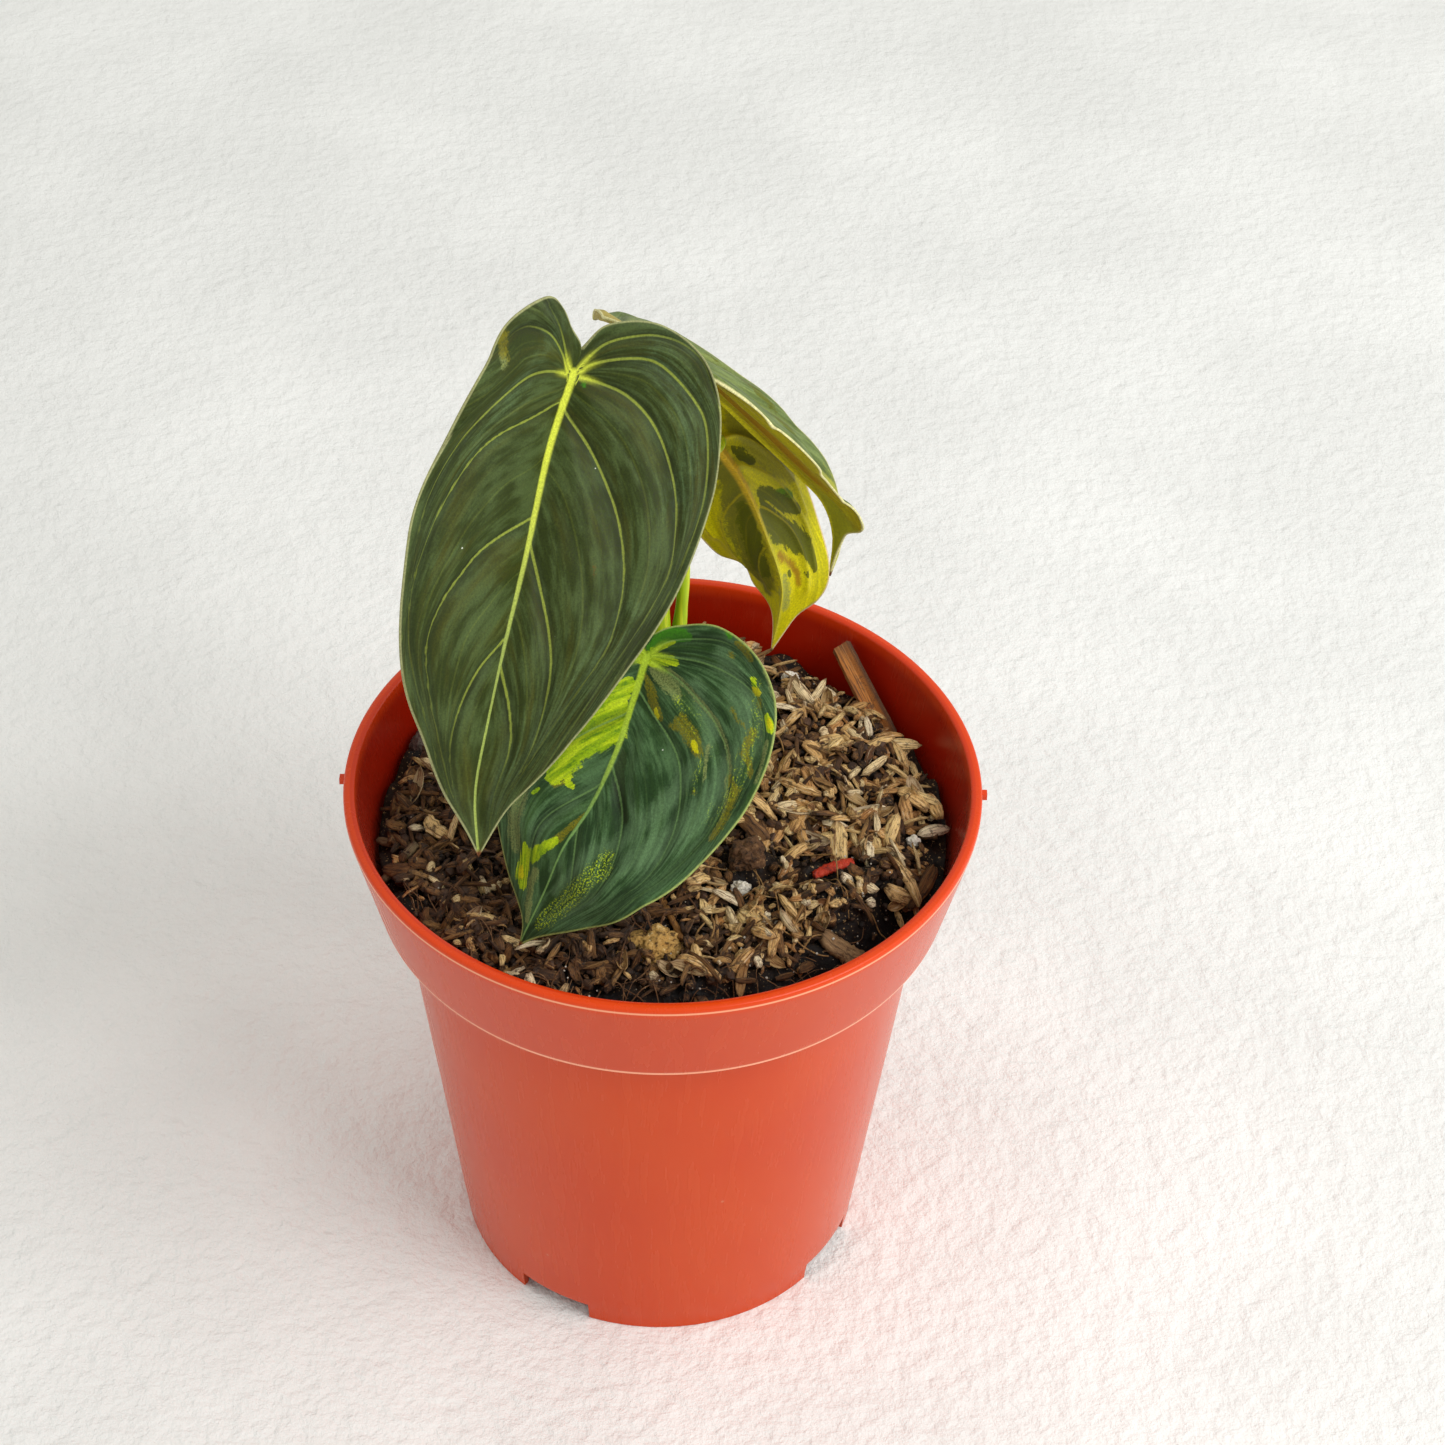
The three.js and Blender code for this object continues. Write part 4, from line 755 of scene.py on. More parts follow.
def make_blade(name, quality):
    """A closed thin blade: two relief surfaces and a rounded margin between them."""
    leaf = LEAVES[name]
    form = BladeForm(leaf)
    vertices, faces, fields = [], [], {}
    for side in ("left", "right"):
        half = blade_half(form, side, int(BLADE_COLUMNS * quality), int(BLADE_ROWS * quality))
        u, w = half["u"], half["w"]
        share = np.clip(u / form.length, 0, 1)
        lift = blade_lift(half, leaf, side)
        rib_w = lerp(*leaf["rib_width"], np.sqrt(share))
        thick = LEAF_THICKNESS / 2 * lerp(0.6, 1.0, smoothstep(half["edge"], 0, 1.2))
        keel = 1.25 * (1 - share) ** 0.8 * np.exp(-(half["rib"] / (rib_w * 0.95)) ** 2)
        under_vein = 0.22 * np.exp(-(half["vein"] / 0.45) ** 2)
        crown = 0.25 * np.exp(-(half["rib"] / (rib_w * 0.8)) ** 2) * (1 - share)
        signed = -w if side == "left" else w
        kept = {
            "lay": np.stack([u, signed, np.zeros_like(u)], -1), "phase": half["phase"], "spacing": half["spacing"],
            "veinshare": half["vein_share"], "edge": half["edge"], "tipdist": np.hypot(u - form.length, w),
            **{kind: mark_field(name, kind, u, signed) for kind in marks_on(name)},
        }
        faces += half_faces(half["shape"], 2 * len(u) if vertices else 0, side)
        for raised, under in ((lift + thick + crown, 0.0), (lift - thick - keel - under_vein, 1.0)):
            vertices.append(form.at(u, w, side, raised))
            for key, values in {**kept, "under": np.full(len(u), under)}.items():
                fields.setdefault(key, []).append(values)
    obj = mesh_object(name + "_blade", np.vstack(vertices), faces)
    set_values(obj.data, **{key: np.concatenate(parts) for key, parts in fields.items()})
    weld(obj, 2e-6)
    return obj


def half_faces(shape, start, side):
    """Faces of one half: upper sheet, lower sheet and the margin between them."""
    size = math.prod(shape)
    index = np.arange(size).reshape(shape)
    a, b, c, d = index[:-1, :-1], index[1:, :-1], index[1:, 1:], index[:-1, 1:]
    upper = np.stack([a, b, c, d], -1).reshape(-1, 4) + start
    lower = upper[:, ::-1] + size
    rim_a, rim_b = index[:-1, -1] + start, index[1:, -1] + start
    rim = np.stack([rim_a, rim_b, rim_b + size, rim_a + size], -1)
    faces = np.vstack([upper, lower, rim])
    return (faces[:, ::-1] if side == "left" else faces).tolist()


def edit_mesh(obj, change):
    """Runs a change on an object's mesh as a bmesh."""
    mesh = bmesh.new()
    mesh.from_mesh(obj.data)
    change(mesh)
    mesh.to_mesh(obj.data)
    mesh.free()
    obj.data.update()


def weld(obj, distance):
    """Joins doubled vertices and drops the faces that close up there."""
    def change(mesh):
        bmesh.ops.remove_doubles(mesh, verts=mesh.verts, dist=distance)
        bmesh.ops.dissolve_degenerate(mesh, edges=mesh.edges, dist=1e-7)
    edit_mesh(obj, change)


def outward(obj):
    """Turns the faces outward."""
    def change(mesh):
        bmesh.ops.recalc_face_normals(mesh, faces=mesh.faces)
        if mesh.calc_volume(signed=True) < 0:
            bmesh.ops.reverse_faces(mesh, faces=mesh.faces)
    edit_mesh(obj, change)


def marks_on(name):
    return [kind for kind in MARK_LOOKS if any(kind in mark for mark in MARKS[name])]


def mark_field(name, kind, u, signed):
    """Highest closeness to a mark of one kind: 1 in its middle, 0.5 at its rim, 0 well outside."""
    field = np.zeros_like(u)
    for mark in MARKS[name]:
        if mark[0] == kind:
            _, strength, points = mark
            gaps = []
            for (u0, w0, half0), (u1, w1, half1) in zip(points, points[1:]):
                du, dw = u1 - u0, w1 - w0
                share = np.clip(((u - u0) * du + (signed - w0) * dw) / (du * du + dw * dw), 0, 1)
                gap = np.hypot(u - u0 - share * du, signed - w0 - share * dw)
                gaps.append(gap / (half0 + (half1 - half0) * share + STROKE_SPARE))
        elif kind in mark:
            along, out, half_u, half_w, turn, _, strength = mark
            a, du, dw = math.radians(turn), u - along, signed - out
            gaps = [np.hypot((du * math.cos(a) + dw * math.sin(a)) / half_u,
                             (dw * math.cos(a) - du * math.sin(a)) / half_w)]
        else:
            continue
        for gap in gaps:
            field = np.maximum(field, np.clip(1 - 0.5 * gap, 0, 1) * min(strength, 1.2))
    return field


# ------------------------------------------------------------------ leaf material

# In each leaf's colours, groove is the strength of the painted shade beside the veins.
LEAF_COLOURS = {
    "leaf_large_front": {
        "upper": "#2d380a", "upper_sheen": "#45542a", "upper_warm": "#46460a", "vein": "#96a23c",
        "rib": "#cdd642", "rib_low": "#98a850", "margin": "#b9b982", "under": "#7d8240", "under_warm": "#8c8330",
        "under_vein": "#c4bf60", "veining": (0.72, 0.09, 0.03), "groove": 0.34, "rim": 0.62,
    },
    "leaf_small_front": {
        "upper": "#233e1a", "upper_sheen": "#4c6b42", "upper_warm": "#33501a", "vein": "#6c8e50",
        "rib": "#a9c432", "rib_low": "#719650", "margin": "#aab864", "under": "#76884a", "under_warm": "#86873a",
        "under_vein": "#b9c268", "veining": (0.6, 0.12, 0.05), "groove": 0.34, "rim": 0.8,
    },
    # The rear leaves' bright yellow undersides are partly their own colour and partly painted light that comes
    # through the thin blade from behind.
    "leaf_rear_upper": {
        "upper": "#56672e", "upper_sheen": "#74854a", "upper_warm": "#8a9648", "vein": "#98a65c",
        "rib": "#d6cc20", "rib_low": "#d6cc20", "margin": "#ddd79c", "under": "#b3a812", "under_warm": "#a39410",
        "under_vein": "#d6cc20", "veining": (0.4, 0.22, 0.18), "groove": 0.15, "rim": 0.95,
    },
    "leaf_rear_lower": {
        "upper": "#4a5a24", "upper_sheen": "#66743a", "upper_warm": "#8f9a26", "vein": "#b9bd50",
        "rib": "#d2ac2a", "rib_low": "#c8c02c", "margin": "#e0c8a0", "under": "#d6cc04", "under_warm": "#bcb604",
        "under_vein": "#bfae1c", "veining": (0.5, 0.14, 0.08), "groove": 0.10, "rim": 0.95,
    },
}
# Each mark's colour, the bounds of its edge in closeness to the mark, and its strength, in the order that they lie.
# Of these, sheen is a painted sheen, pleat a painted shadow in a fold and band a painted shadow of the leaf above.
MARK_LOOKS = {
    "sheen": ("#66845c", 0.2, 0.95, 0.4), "pleat": ("#222e06", 0.25, 0.7, 0.75), "pale": ("#828c50", 0.42, 0.7, 0.8),
    "olive": ("#6a6a20", 0.2, 0.6, 0.9), "band": ("#9c9628", 0.35, 0.7, 0.9), "tan": ("#b3a254", 0.35, 0.6, 0.95),
    "brown": ("#9a6c0c", 0.3, 0.75, 0.85), "tail": ("#a5a62a", 0.3, 0.7, 0.95),
    "green": ("#3c7f06", 0.42, 0.7, 0.85), "ochre": ("#7a7208", 0.42, 0.66, 0.85),
    "lime": ("#8dae00", 0.42, 0.56, 0.95), "yellow": ("#c8c004", 0.42, 0.62, 0.9),
    "dark": ("#5c6206", 0.46, 0.55, 0.95), "scar": ("#6a4410", 0.42, 0.6, 0.6), "fleck": ("#aec41e", 0.3, 0.6, 1.0),
}
MEAN_JAG = 0.675  # what a mark's jagged edge is moved by in the mean


def leaf_material(name):
    """Living velvety leaf tissue: dark soft matte skin, fleshy paler veins, a fine granular nap."""
    leaf, colours = LEAVES[name], LEAF_COLOURS[name]
    length = BladeForm(leaf).length
    material, add = start_material("living_leaf_" + name)
    lay = add("Attribute", out="Vector", attribute_name="lay")
    forth, aside, _ = add("SeparateXYZ", (lay,), None)
    under, phase, spacing, outer, edge, tip = (
        add("Attribute", out="Fac", attribute_name=key)
        for key in ("under", "phase", "spacing", "veinshare", "edge", "tipdist"))

    def along_veins(across, along, detail):
        """Noise drawn out along the veins: so many turns from vein to vein, so many for each millimetre along."""
        place = add("CombineXYZ", [add("Math", (value, scale), **TIMES)
                                   for value, scale in ((phase, across), (forth, along), (aside, along))])
        return add("TexNoise", {"Vector": place, "Scale": 1.0, "Detail": detail, "Roughness": 0.6})

    # Noise with so many turns for each millimetre: a broad drift, 15 mm across; the nap, grains of a quarter
    # millimetre, drawn coarser than real so that they show; and two that roughen the marks.
    drift, nap, ragged, ragged_fine = (
        add("TexNoise", {"Vector": lay, "Scale": scale, "Detail": detail, "Roughness": rough})
        for scale, detail, rough in ((0.07, 3.0, 0.55), (2.3, 4.0, 0.85), (0.55, 5.0, 0.72), (2.6, 3.0, 0.8)))
    streaks, feather = along_veins(4.0, 0.05, 3.0), along_veins(9.0, 0.12, 4.0)

    # The upper face: lighter streaks of the upper_sheen colour along the veins are painted sheen; warmer streaks lie
    # among them.
    upper = paint(add, colours["upper"],
                  (weighted(add, (drift, 0.45), (feather, 0.55)), 0.42, 0.60, colours["upper_sheen"]),
                  (streaks, 0.45, 0.75, 0.0, 0.65, colours["upper_warm"]))
    lower = paint(add, colours["under"], (streaks, 0.35, 0.7, colours["under_warm"]))
    body = paint(add, upper, (under, lower))

    # Marks spread along the veins: their edges are feathered by streaks and roughened by grains.
    jag = weighted(add, (ragged, 0.45), (ragged_fine, 0.3), (feather, 0.6))
    fray = add("Math", (add("Math", (jag, MEAN_JAG), **MINUS), 1.5), **TIMES)
    speckled = share_of(add, (ragged_fine, 0.38, 0.55, 0.3, 1.0))
    broken = {"fleck": share_of(add, (ragged_fine, 0.53, 0.57)), "ochre": speckled, "pale": speckled, "brown": under}
    for kind in marks_on(name):
        tint, low, high, most = MARK_LOOKS[kind]
        if kind == "lime":
            # Streaks along the veins, from yellow-lime to leaf green.
            tint = paint(add, tint, (feather, 0.42, 0.62, "#b6cc14"), (jag, 0.66, 0.54, 0.0, 0.75, "#4c7c14"))
        near = add("Math", (add("Attribute", out="Fac", attribute_name=kind), fray), **PLUS)
        where = share_of(add, (near, low, high, 0.0, most), (broken.get(kind, 1.0),))
        body = paint(add, body, (where, tint))

    # Distances in millimetres: to the nearest main vein, to the lesser ones between, and to the midrib.
    fraction = add("Math", (phase, 0.5), operation="PINGPONG")
    quarter = add("Math", (add("Math", (fraction, 0.25), **MINUS),), operation="ABSOLUTE")
    to_main, to_second, to_third = (
        add("Math", (part, spacing), **TIMES)
        for part in (fraction, add("Math", (0.5, fraction), **MINUS), quarter))
    behind = add("Math", (forth, 0.0), operation="MINIMUM")
    to_rib = add("VectorMath", (add("CombineXYZ", (behind, aside)),), "Value", **LENGTH)
    rib_half = add("MapRange", (forth, 0.0, length * 0.65, *leaf["rib_width"]))
    on_rib = share_of(add, (add("Math", (to_rib, rib_half), operation="DIVIDE"), 1.35, 0.5))
    # The vein bases run together into a bright star where the petiole joins.
    star = share_of(add, (add("VectorMath", (lay,), "Value", **LENGTH), 6.5, 1.2))
    half_vein = add("MapRange", (outer, 0.0, 1.0, leaf["vein_width"] * 0.72, leaf["vein_width"] * 0.36))
    main, second, third = colours["veining"]
    on_main = share_of(add, (add("Math", (to_main, half_vein), operation="DIVIDE"), 1.2, 0.35),
                       (outer, 0.15, 0.95, main, 0.1))
    on_second = share_of(add, (to_second, 0.26, 0.05, 0.0, second), (spacing, 3.0, 7.0))
    on_third = share_of(add, (to_third, 0.2, 0.04, 0.0, third), (spacing, 5.0, 9.0))
    veins = paint(add, colours["vein"], (under, colours["under_vein"]))
    ribs = paint(add, colours["rib"], (forth, length * 0.12, length * 0.6, colours["rib_low"]))
    body = paint(
        add, body,
        # Painted shade: the groove beside each vein is painted darker than the swell between.
        (to_main, 1.7, 0.3, 0.0, colours["groove"], "#12190a"),
        (on_third, veins), (on_second, veins), (on_main, paint(add, veins, (star, colours["rib"]))),
        (share_of(add, (to_main, 1.0, 0.2, 0.0, 0.6), (star,)), colours["rib"]), (on_rib, ribs),
        (edge, 0.42, 0.1, 0.0, colours["rim"], colours["margin"]), (tip, 1.6, 0.7, "#6b3d1c"))
    grain, brushed = (add("MapRange", (value, 0.3, 0.7, *ends)) for value, ends in ((nap, (0.62, 1.42)),
                                                                                    (feather, (0.9, 1.1))))
    grey = add("CombineColor", [add("Math", (grain, brushed), **TIMES)] * 3)
    body = add("Mix", {0: 1.0, 6: body, 7: grey}, 2, data_type="RGBA", blend_type="MULTIPLY")
    # Dust and pale hairs: white specks some 12 mm apart.
    dust = add("TexVoronoi", {"Vector": lay, "Scale": 0.13}, "Distance")
    body = paint(add, body, (dust, 0.028, 0.018, 0.0, 0.8, "#dfe3d2"))
    finish_material(add, body, share_of(add, (nap, 0.3, 0.7, 0.46, 0.66)), (nap, 0.00006, 0.6),
                    {"IOR": 1.28, "Sheen Weight": 0.05, "Sheen Roughness": 0.4, "Sheen Tint": "#dfe8e4"})
    return material


# ------------------------------------------------------------------ pot

BOX = partial(bmesh.ops.create_cube, size=1.0)
CYLINDER = partial(bmesh.ops.create_cone, cap_ends=True, segments=48, radius1=1.0, radius2=1.0, depth=1.0)


def body_radius(z):
    return lerp(FOOT_RADIUS, BODY_TOP_RADIUS, z / COLLAR_FOOT_Z)


def pot_profile():
    """Radius and height round the wall, from the middle underneath to the middle of the floor."""
    rim, top, foot, low = RIM_RADIUS, POT_HEIGHT, FOOT_RADIUS, COLLAR_FOOT_Z
    inner = rim - LIP_WIDTH
    underside = [(0, FLOOR_UNDERSIDE), (foot - WALL, FLOOR_UNDERSIDE), (foot - WALL, 0.15),
                 (foot - WALL + 0.15, 0), (foot - 0.25, 0), (foot, 0.2)]
    # A faint step where the skirt meets the body.
    body = [(body_radius(z) - (0.10 if z < 4.2 else 0), z) for z in np.linspace(1.2, low - 0.5, 40)]
    step = [(BODY_TOP_RADIUS - 0.02, low - 0.12), (BODY_TOP_RADIUS + 0.35, low), (COLLAR_RADIUS - LIP_ROUND, low),
            (COLLAR_RADIUS - 0.1, low + 0.1), (COLLAR_RADIUS, low + LIP_ROUND)]
    collar = [(lerp(COLLAR_RADIUS, rim, k), lerp(low + LIP_ROUND, top - 1.4, k)) for k in np.linspace(0.06, 1, 14)]
    lip = [(rim, top - 0.7), (rim - 0.08, top - 0.3), (rim - 0.3, top - 0.08), (rim - 0.6, top),
           (inner + 0.6, top), (inner + 0.25, top - 0.08), (inner + 0.06, top - 0.3), (inner, top - 0.7)]
    inside = [(lerp(inner, COLLAR_RADIUS - WALL, k), lerp(top - 0.7, low + WALL + 0.3, k))
              for k in np.linspace(0.08, 1, 12)]
    shoulder = [(body_radius(low) - WALL + 0.3, low + WALL)]
    hollow = [(body_radius(z) - WALL, z) for z in np.linspace(low - 1, FLOOR_TOP, 14)]
    return underside + body + step + collar + lip + inside + shoulder + hollow + [(0, FLOOR_TOP)]


def turned_shell():
    """Geometry Nodes: turns a profile, given as points out and up, once round the upright axis."""
    tree, add, entry = start_group("turned_shell", ("Rows", "Int", 2), ("Segments", "Int", 192),
                                   ("Material", "Material"))
    columns = add("Math", (entry["Segments"], 1.0), **PLUS)
    grid = add("GeometryNodeMeshGrid", {"Vertices X": entry["Rows"], "Vertices Y": columns}, "Mesh")
    # The grid's vertices run along one row of the profile before the next.
    index = add("GeometryNodeInputIndex")
    column = add("Math", (index, columns), operation="FLOORED_MODULO")
    row = add("Math", (add("Math", (index, columns), operation="DIVIDE"),), operation="FLOOR")
    turn = add("Math", (add("Math", (column, math.tau), **TIMES), entry["Segments"]), operation="DIVIDE")
    place = add("GeometryNodeSampleIndex", {"Geometry": entry["Geometry"], "Index": row,
                                            "Value": add("GeometryNodeInputPosition")}, data_type="FLOAT_VECTOR")
    turned = add("VectorRotate", {"Vector": place, "Angle": turn}, rotation_type="Z_AXIS")
    shell = add("GeometryNodeSetPosition", {"Geometry": grid, "Position": turned})
    merged = add("GeometryNodeMergeByDistance", {"Geometry": shell, "Distance": 0.000004})
    finish_group(add, merged, entry["Material"])
    return tree


def carve(obj, operation, solid, size, centre, turn=0.0):
    """Boolean of obj with a box or cylinder of a size at a centre, turned about the upright axis."""
    place = Matrix.Rotation(turn, 4, "Z") @ Matrix.Translation(Vector(centre) * MM)
    tool = linked("tool", bpy.data.meshes.new("tool"))
    edit_mesh(tool, lambda mesh: solid(mesh, matrix=place @ Matrix.Diagonal((*[c * MM for c in size], 1))))
    modifier = obj.modifiers.new("cut", "BOOLEAN")
    modifier.operation, modifier.solver, modifier.object = operation, "EXACT", tool
    old, graph = obj.data, bpy.context.evaluated_depsgraph_get()
    mesh = bpy.data.meshes.new_from_object(obj.evaluated_get(graph))
    obj.modifiers.remove(modifier)
    obj.data = mesh
    bpy.data.meshes.remove(old)
    drop(tool)


def make_pot(segments, material):
    """The pot's shell is turned, and then its notches, drain slots, centre hole and nubs are cut or added."""
    profile = pot_profile()
    strip = mesh_object("pot_profile", [(r, 0, z) for r, z in profile], [])
    shell = bake(strip, turned_shell(), {"Rows": len(profile), "Segments": segments, "Material": material},
                 "nursery_pot")
    drop(strip)
    weld(shell, 4e-6)
    outward(shell)
    # Each cutter reaches a millimetre or more past what it cuts.
    through = FLOOR_UNDERSIDE + 1
    for i in range(DRAIN_COUNT):
        turn = math.radians(FIRST_DRAIN_ANGLE + i * 360 / DRAIN_COUNT)
        carve(shell, "DIFFERENCE", BOX, (10, NOTCH_WIDTH, NOTCH_HEIGHT + 1),
              (FOOT_RADIUS, 0, (NOTCH_HEIGHT - 1) / 2), turn)
        carve(shell, "DIFFERENCE", BOX, (SLOT_OUTER - SLOT_INNER, SLOT_WIDTH, 6),
              ((SLOT_INNER + SLOT_OUTER) / 2, 0, through), turn)
    carve(shell, "DIFFERENCE", CYLINDER, (CENTRE_HOLE_RADIUS, CENTRE_HOLE_RADIUS, 6), (0, 0, through))
    for turn in (0, math.pi):
        carve(shell, "UNION", BOX, (NUB_OUT + 1, NUB_WIDTH, NUB_HEIGHT),
              (RIM_RADIUS + (NUB_OUT - 1) / 2, 0, POT_HEIGHT - NUB_BELOW - NUB_HEIGHT / 2), turn)
    shell.data.shade_smooth()
    shell.data.set_sharp_from_angle(angle=math.radians(38))
    shell.data.materials.clear()
    return shell


def pot_material(looks):
    """Injection-moulded polypropylene: even colour right through, satin skin, faint flow streaks up the wall;
    painted shade inside, painted light on the lip and painted highlights on its rim and the collar's edge.
    """
    material, add = start_material("moulded_polypropylene_terracotta")
    place = add("TexCoord", out="Object")
    height = add("SeparateXYZ", (place,), 2)
    tall = add("Mapping", {"Vector": place, "Scale": (500.0, 500.0, 14.0)})
    # The orange peel of the mould is about 0.7 mm across.
    streak, cloud, peel = (
        add("TexNoise", {"Vector": where, "Scale": scale, "Detail": detail})
        for where, scale, detail in ((tall, 1.0, 4.0), (place, 28.0, 3.0), (place, 1400.0, 2.0)))
    # Scuffs and grains of dust, a few millimetres apart, a tenth of one across.
    dust, specks = (add("TexVoronoi", {"Vector": place, "Scale": scale}, "Distance") for scale in (85.0, 34.0))
    # Painted highlight: the collar's lower edge, half a millimetre of it, is painted pale where it would catch the
    # light.
    collar_edge_highlight = share_of(add, (height, (COLLAR_FOOT_Z - 0.1) * MM, COLLAR_FOOT_Z * MM),
                      (height, (COLLAR_FOOT_Z + 0.8) * MM, (COLLAR_FOOT_Z + 0.6) * MM), (0.95,))
    flat = add("VectorMath", (place, (1.0, 1.0, 0.0)), **TIMES)
    reach = add("VectorMath", (flat,), "Value", **LENGTH)
    wall = 0.0
    for ends in ((0.0, COLLAR_FOOT_Z, FOOT_RADIUS, BODY_TOP_RADIUS),
                 (COLLAR_FOOT_Z, POT_HEIGHT, 0.0, RIM_RADIUS - COLLAR_RADIUS),
                 (COLLAR_FOOT_Z + 0.8, COLLAR_FOOT_Z + 1.4, 0.0, COLLAR_RADIUS - BODY_TOP_RADIUS)):
        wall = add("Math", (wall, add("MapRange", (height, *[end * MM for end in ends]))), **PLUS)
    depth = add("Math", (wall, reach), **MINUS)
    # The lip's outer edge catches the light in a line a third of a millimetre wide.
    rim_line = share_of(add, (height, (POT_HEIGHT - 1.5) * MM, (POT_HEIGHT - 1.2) * MM),
                        (height, (POT_HEIGHT - 0.8) * MM, (POT_HEIGHT - 1.1) * MM),
                        (reach, (RIM_RADIUS - 0.7) * MM, (RIM_RADIUS - 0.3) * MM), (0.85,))
    colour = paint(
        add, looks.base, (cloud, 0.35, 0.7, 0.0, 0.5, looks.warm), (streak, 0.4, 0.75, 0.0, 0.10, looks.pale),
        # The collar's pale edge line here is a painted highlight.
        (dust, 0.030, 0.020, 0.0, 0.45, "#e8a98c"), (specks, 0.020, 0.012, 0.0, 0.8, "#4a1c12"), (collar_edge_highlight, "#ffb48e"),
        # Inside, deeper red: the wall is only seen by light that has bounced off it.
        (depth, 0.0011, 0.0014, 0.0, 0.85, looks.inner),
        # The lip is thin, and light comes through it.
        (height, (POT_HEIGHT - 3.2) * MM, (POT_HEIGHT - 0.3) * MM, 0.0, 0.6, looks.lip), (rim_line, "#ffb88e"))
    rough = add("Math", (share_of(add, (streak, 0.3, 0.75, 0.0, 0.05)), looks.roughness), **PLUS)
    finish_material(add, colour, rough, (share_of(add, (peel,), (height, 0.045, 0.004, 0.25, 1.0)), 0.00004, 0.35),
                    {"IOR": 1.36, "Sheen Weight": 0.05, "Sheen Roughness": 0.3, "Sheen Tint": "#ffe2bc"})
    return material


# ------------------------------------------------------------------ potting mix

def part_random(seed):
    """The same row of numbers from 0 to 1 that the solid mix was made with, so that the two surfaces agree."""
    state, full = seed * 2654435761 & 0xFFFFFFFF, 0xFFFFFFFF
    while True:
        state = state + 0x6D2B79F5 & full
        t = (state ^ state >> 15) * (1 | state) & full
        t = (t + ((t ^ t >> 7) * (61 | t) & full) & full) ^ t
        yield (t ^ t >> 14) / 4294967296


def lumps():
    row = part_random(7)
    return [(next(row) * math.tau, lerp(*LUMP_PITCH, next(row)), next(row) * math.tau) for _ in range(LUMP_COUNT)]


LUMPS = lumps()


def mix_height(x, y):
    """Height of the mix's surface, in millimetres."""
    radius, z = np.hypot(x, y), MIX_LEVEL
    for cx, cy, rise, spread in HUMPS:
        z = z + rise * np.exp(-((x - cx) ** 2 + (y - cy) ** 2) / (2 * spread * spread))
    for (start, end, depth), share in ((EDGE_FALL, 1.0), (TRENCH, trench_opening(x, y))):
        z = z - depth * share * smoothstep(radius, start, end)
    for a, pitch, phase in LUMPS:
        z = z + LUMP_HEIGHT * np.sin(pitch * (x * math.cos(a) + y * math.sin(a)) + phase)
    return z


def trench_opening(x, y):
    """1 in the middle of the trench's arc, 0 outside it."""
    return 1 - smoothstep(np.abs(np.degrees(np.arctan2(y, x)) - TRENCH_HEADING) / TRENCH_HALF, 0.65, 1)


def crumb(x, y, scale, octaves, seed):
    """Fractal noise from about -1 to 1 at each place."""
    return np.array([noise.fractal(Vector((a * scale, b * scale, seed)), 1.0, 2.1, octaves)
                     for a, b in zip(x, y)])


def wall_inside(z):
    """Inner radius of the pot at a height."""
    shoulder = COLLAR_FOOT_Z + WALL
    flare = (z - shoulder) / (POT_HEIGHT - shoulder)
    return np.where(z > shoulder, lerp(COLLAR_RADIUS - WALL, RIM_RADIUS - LIP_WIDTH, flare),
                    body_radius(np.minimum(z, COLLAR_FOOT_Z)) - WALL)


def make_mix_bed(rings, sectors):
    """The mix's own body: crumbly top, sides just inside the wall, flat bottom."""
    turn = np.arange(sectors) / sectors * math.tau
    ring = np.stack([np.cos(turn), np.sin(turn)], -1)
    shares = np.linspace(0, 1, rings + 1)[1:] ** 0.85
    x, y = np.vstack([[(0.0, 0.0)], *(share * BED_RADIUS * ring for share in shares)]).T
    z = mix_height(x, y) - CRUMB_DEPTH
    z += 0.9 * crumb(x, y, 0.28, 4, 3.0) + 0.5 * np.abs(crumb(x, y, 1.1, 3, 9.0))
    # The plastic shard lies in a shallow dip of the crumbs.
    for x0, y0 in SHARD_DIP:
        z -= 0.9 * (1 - smoothstep(np.hypot(x - x0, y - y0), 1.4, 3.4))
    reach, limit = np.hypot(x, y), wall_inside(z) - WALL_GAP
    squeeze = np.where(reach > limit, limit / np.maximum(reach, 1e-6), 1.0)
    layers = [np.stack([x * squeeze, y * squeeze, z], -1)]
    depths = (88.0, 60.0, 30.0, FLOOR_TOP + 0.3)
    for low in depths:
        layers.append(np.column_stack([(wall_inside(low) - WALL_GAP) * ring, np.full(sectors, low)]))
    vertices = np.vstack([*layers, [(0, 0, depths[-1])]])
    last, pole = rings + len(depths) - 1, len(vertices) - 1
    at = lambda r, k: 1 + r * sectors + k % sectors
    faces = [(at(r, k), at(r + 1, k), at(r + 1, k + 1), at(r, k + 1)) for r in range(last) for k in range(sectors)]
    for k in range(sectors):
        faces += [(0, at(0, k), at(0, k + 1)), (pole, at(last, k + 1), at(last, k))]
    obj = mesh_object("potting_mix_bed", vertices, faces)
    x, y, _ = vertices.T
    # Painted shade: the trench along the front wall is marked, for the mix's material to paint it darker.
    set_values(obj.data, deep=trench_opening(x, y) * smoothstep(np.hypot(x, y), 41, 45.5))
    return obj


